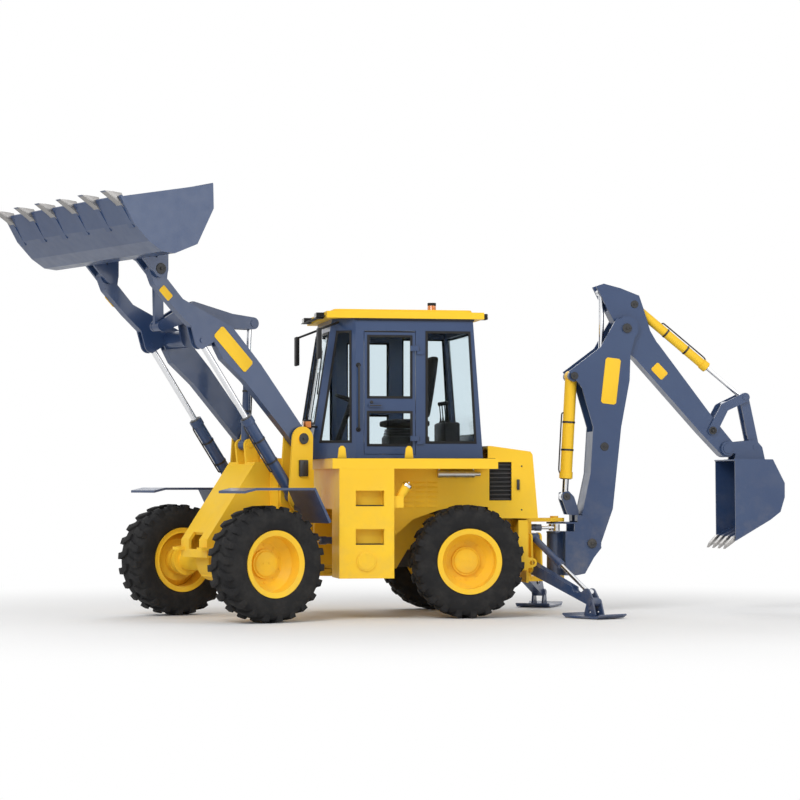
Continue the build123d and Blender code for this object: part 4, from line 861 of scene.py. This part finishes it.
# %% Teeth and cutting edges
bm = bmesh.new()
LOADER_SHOE = [(-3335, 4186), (-3250, 4185), (-3148, 4176), (-3080, 4062), (-3120, 4030), (-3172, 4078)]
EDGE_STRIP = [(-3178, 4148), (-3166, 4152), (-3092, 4026), (-3106, 4018)]
LOADER_TEETH, OUTER_TOOTH, SHOE_HALF, STRIP_GAP = 6, 1120, 49, 52
pitch = 2 * OUTER_TOOTH / (LOADER_TEETH - 1)
for number in range(LOADER_TEETH):
    middle = number * pitch - OUTER_TOOTH
    plate(bm, [(x, middle - SHOE_HALF, z) for x, z in LOADER_SHOE], (0, 2 * SHOE_HALF, 0), 5)
    if number < LOADER_TEETH - 1:
        plate(bm, [(x, middle + STRIP_GAP, z) for x, z in EDGE_STRIP], (0, pitch - 2 * STRIP_GAP, 0), 2)
add_piece("loader_teeth", bm, WORN_STEEL, "loader_bucket", FRONT)
bm = bmesh.new()
HOE_SHOE = [(4324, 685), (4344, 738), (4420, 822), (4450, 826), (4438, 766), (4400, 738)]
HOE_TEETH = 4
for number in range(HOE_TEETH):
    middle = -295 + number * 590 / (HOE_TEETH - 1)
    plate(bm, [(x, middle - 39, z) for x, z in HOE_SHOE], (0, 78, 0), 4)
add_piece("hoe_teeth", bm, WORN_STEEL, "hoe_bucket", REAR)
print("teeth:", LOADER_TEETH, "and", HOE_TEETH)

# %% [markdown]
# The blank label plates on the arms are thin painted sheets with clipped corners and a rivet near each. They
# keep the photograph's places and colours and carry no words. One function lays such a plate on any face, so
# the boom and the dipper get theirs in the same way.

# %% Blank label plates


def label(bm, middle, along_way, up_way, out, length, height):
    """A thin plate with clipped corners round its middle."""
    middle, out = Vector(middle), Vector(out)
    along_way, up_way = Vector(along_way).normalized(), Vector(up_way).normalized()
    cut = height * 0.12
    corners = []
    for a, b in ((-1, -1), (1, -1), (1, 1), (-1, 1)):
        pair = [(a * (length / 2 - cut), b * height / 2), (a * length / 2, b * (height / 2 - cut))]
        corners += list(reversed(pair)) if a * b > 0 else pair
    corners = [middle + along_way * u + up_way * v for u, v in corners]
    plate(bm, corners, out * 4, 1)
    for a in (-1, 1):
        for b in (-1, 1):
            spot = middle + along_way * a * (length / 2 - cut * 1.3) + up_way * b * (height / 2 - cut * 1.3)
            rod(bm, spot + out * 3, spot + out * 6, 5, 10, 3)


bm = bmesh.new()
for side in (-1, 1):
    label(bm, (-1506, side * 551, 2758), ARM_WAY, ARM_UP, (0, side, 0), 520, 150)
    label(bm, (-2298, side * 551, 3293), ARM_WAY, ARM_UP, (0, side, 0), 150, 80)
add_piece("arm_labels", bm, YELLOW, "loader_arms", FRONT)
bm = bmesh.new()
for side in (-1, 1):
    label(bm, (3095, side * 151, 2506), (0.114, 0, 0.993), (0.993, 0, -0.114), (0, side, 0), 500, 170)
add_piece("boom_labels", bm, YELLOW, "boom", REAR)
bm = bmesh.new()
for side in (-1, 1):
    label(bm, (3656, side * 96, 2619), (0.70, 0, -0.714), (0.714, 0, 0.70), (0, side, 0), 170, 110)
add_piece("dipper_labels", bm, YELLOW, "dipper", REAR)
print("labels on the arms, boom and dipper")

# %% [markdown]
# The photograph has no visible floor or walls, only white. A pale plane under the wheels keeps a soft
# shadow, and its colour, not more light, makes it pale. Some metres out it fades to plain white for the
# camera alone, so that no horizon shows, while the light that it throws back stays the same.

# %% Floor
def join(tree, *pairs):
    """Links outputs to inputs, given in pairs."""
    for source, target in pairs:
        tree.links.new(source, target)


def new_node(tree, kind, **settings):
    """A node of a kind with some of its settings."""
    node = tree.nodes.new("ShaderNode" + kind)
    for name, value in settings.items():
        setattr(node, name, value)
    return node


floor_mesh = bpy.data.meshes.new("floor")
bm = bmesh.new()
bmesh.ops.create_grid(bm, x_segments=1, y_segments=1, size=400)
bm.to_mesh(floor_mesh)
bm.free()
floor = bpy.data.objects.new("floor", floor_mesh)
bpy.context.collection.objects.link(floor)
FLOOR, floor_tree, floor_surface = new_material("pale_floor")
tint = mix(floor_tree, noise(floor_tree, 0.5, 2), (0.86, 0.86, 0.86), (0.90, 0.90, 0.90))
floor_tree.links.new(tint, floor_surface.inputs["Base Color"])
floor_surface.inputs["Roughness"].default_value = 0.9
floor_mesh.materials.append(FLOOR)
floor_place = new_node(floor_tree, "TexCoord")
distance = new_node(floor_tree, "VectorMath", operation="LENGTH")
fade = new_node(floor_tree, "MapRange", interpolation_type="SMOOTHSTEP")
FADE_START, FADE_END = 3.5, 9.0
fade.inputs["From Min"].default_value = FADE_START
fade.inputs["From Max"].default_value = FADE_END
floor_path = new_node(floor_tree, "LightPath")
floor_seen = new_node(floor_tree, "Math", operation="MULTIPLY")
white = new_node(floor_tree, "Emission")
floor_mix = new_node(floor_tree, "MixShader")
floor_output = next(n for n in floor_tree.nodes if n.type == "OUTPUT_MATERIAL")
join(floor_tree, (floor_place.outputs["Object"], distance.inputs[0]),
     (distance.outputs["Value"], fade.inputs["Value"]),
     (fade.outputs["Result"], floor_seen.inputs[0]),
     (floor_path.outputs["Is Camera Ray"], floor_seen.inputs[1]),
     (floor_seen.outputs["Value"], floor_mix.inputs["Fac"]),
     (floor_surface.outputs["BSDF"], floor_mix.inputs[1]),
     (white.outputs["Emission"], floor_mix.inputs[2]),
     (floor_mix.outputs["Shader"], floor_output.inputs["Surface"]))
print("floor fades from", FADE_START, "to", FADE_END, "m")

# %% [markdown]
# The studio is a white room: the world gives even light from all round, dimmer than it looks to the camera
# and in reflections, and three large soft lamps give the shapes a light side and a dark side.

# %% World and lamps
world = bpy.data.worlds.new("studio")
bpy.context.scene.world = world
world.use_nodes = True
world_tree = world.node_tree
background = next(n for n in world_tree.nodes if n.type == "BACKGROUND")
background.inputs["Color"].default_value = (1, 1, 1, 1)
background.inputs["Strength"].default_value = 0.55
seen = new_node(world_tree, "Background")
seen.inputs["Color"].default_value = (1, 1, 1, 1)
seen.inputs["Strength"].default_value = 1.0
path = new_node(world_tree, "LightPath")
either = new_node(world_tree, "Math", operation="MAXIMUM")
either_again = new_node(world_tree, "Math", operation="MAXIMUM")
switch = new_node(world_tree, "MixShader")
world_output = next(n for n in world_tree.nodes if n.type == "OUTPUT_WORLD")
join(world_tree, (path.outputs["Is Camera Ray"], either.inputs[0]),
     (path.outputs["Is Transmission Ray"], either.inputs[1]),
     (either.outputs["Value"], either_again.inputs[0]),
     (path.outputs["Is Glossy Ray"], either_again.inputs[1]),
     (either_again.outputs["Value"], switch.inputs["Fac"]),
     (background.outputs["Background"], switch.inputs[1]),
     (seen.outputs["Background"], switch.inputs[2]),
     (switch.outputs["Shader"], world_output.inputs["Surface"]))


def lamp(name, place, aim, size, power):
    """A soft square lamp at a place, aimed at a point."""
    data = bpy.data.lights.new(name, "AREA")
    data.size = size
    data.energy = power
    item = bpy.data.objects.new(name, data)
    item.location = place
    item.rotation_euler = (Vector(aim) - Vector(place)).to_track_quat("-Z", "Y").to_euler()
    bpy.context.collection.objects.link(item)


AIM = (0, 0, 1.5)
LAMPS = [("key_lamp", (-9, -14, 13), 9, 1750), ("fill_lamp", (12, -12, 7), 10, 550),
         ("back_lamp", (2, 15, 12), 10, 800)]
for name, place, size, power in LAMPS:
    lamp(name, place, AIM, size, power)
print("lamps:", [name for name, *_ in LAMPS])

# %% [markdown]
# The camera repeats the photograph's view. It stands level at the eye's height and 26 m away, looks along
# the ground, and its lens is shifted up instead of tilted, so that upright edges stay upright in the picture.

# %% Camera
camera = bpy.data.objects.new("camera", bpy.data.cameras.new("camera"))
bpy.context.collection.objects.link(camera)
camera.location = (-4.743, -25.779, 1.4236)
camera.rotation_euler = (radians(90), 0, radians(-10.37))
camera.data.lens = 111.96
camera.data.sensor_width = 36
camera.data.shift_y = 0.10125
camera.data.clip_end = 1000
scene = bpy.context.scene
scene.camera = camera
scene.view_settings.view_transform = "Standard"
print("camera at", tuple(camera.location), "lens", camera.data.lens)
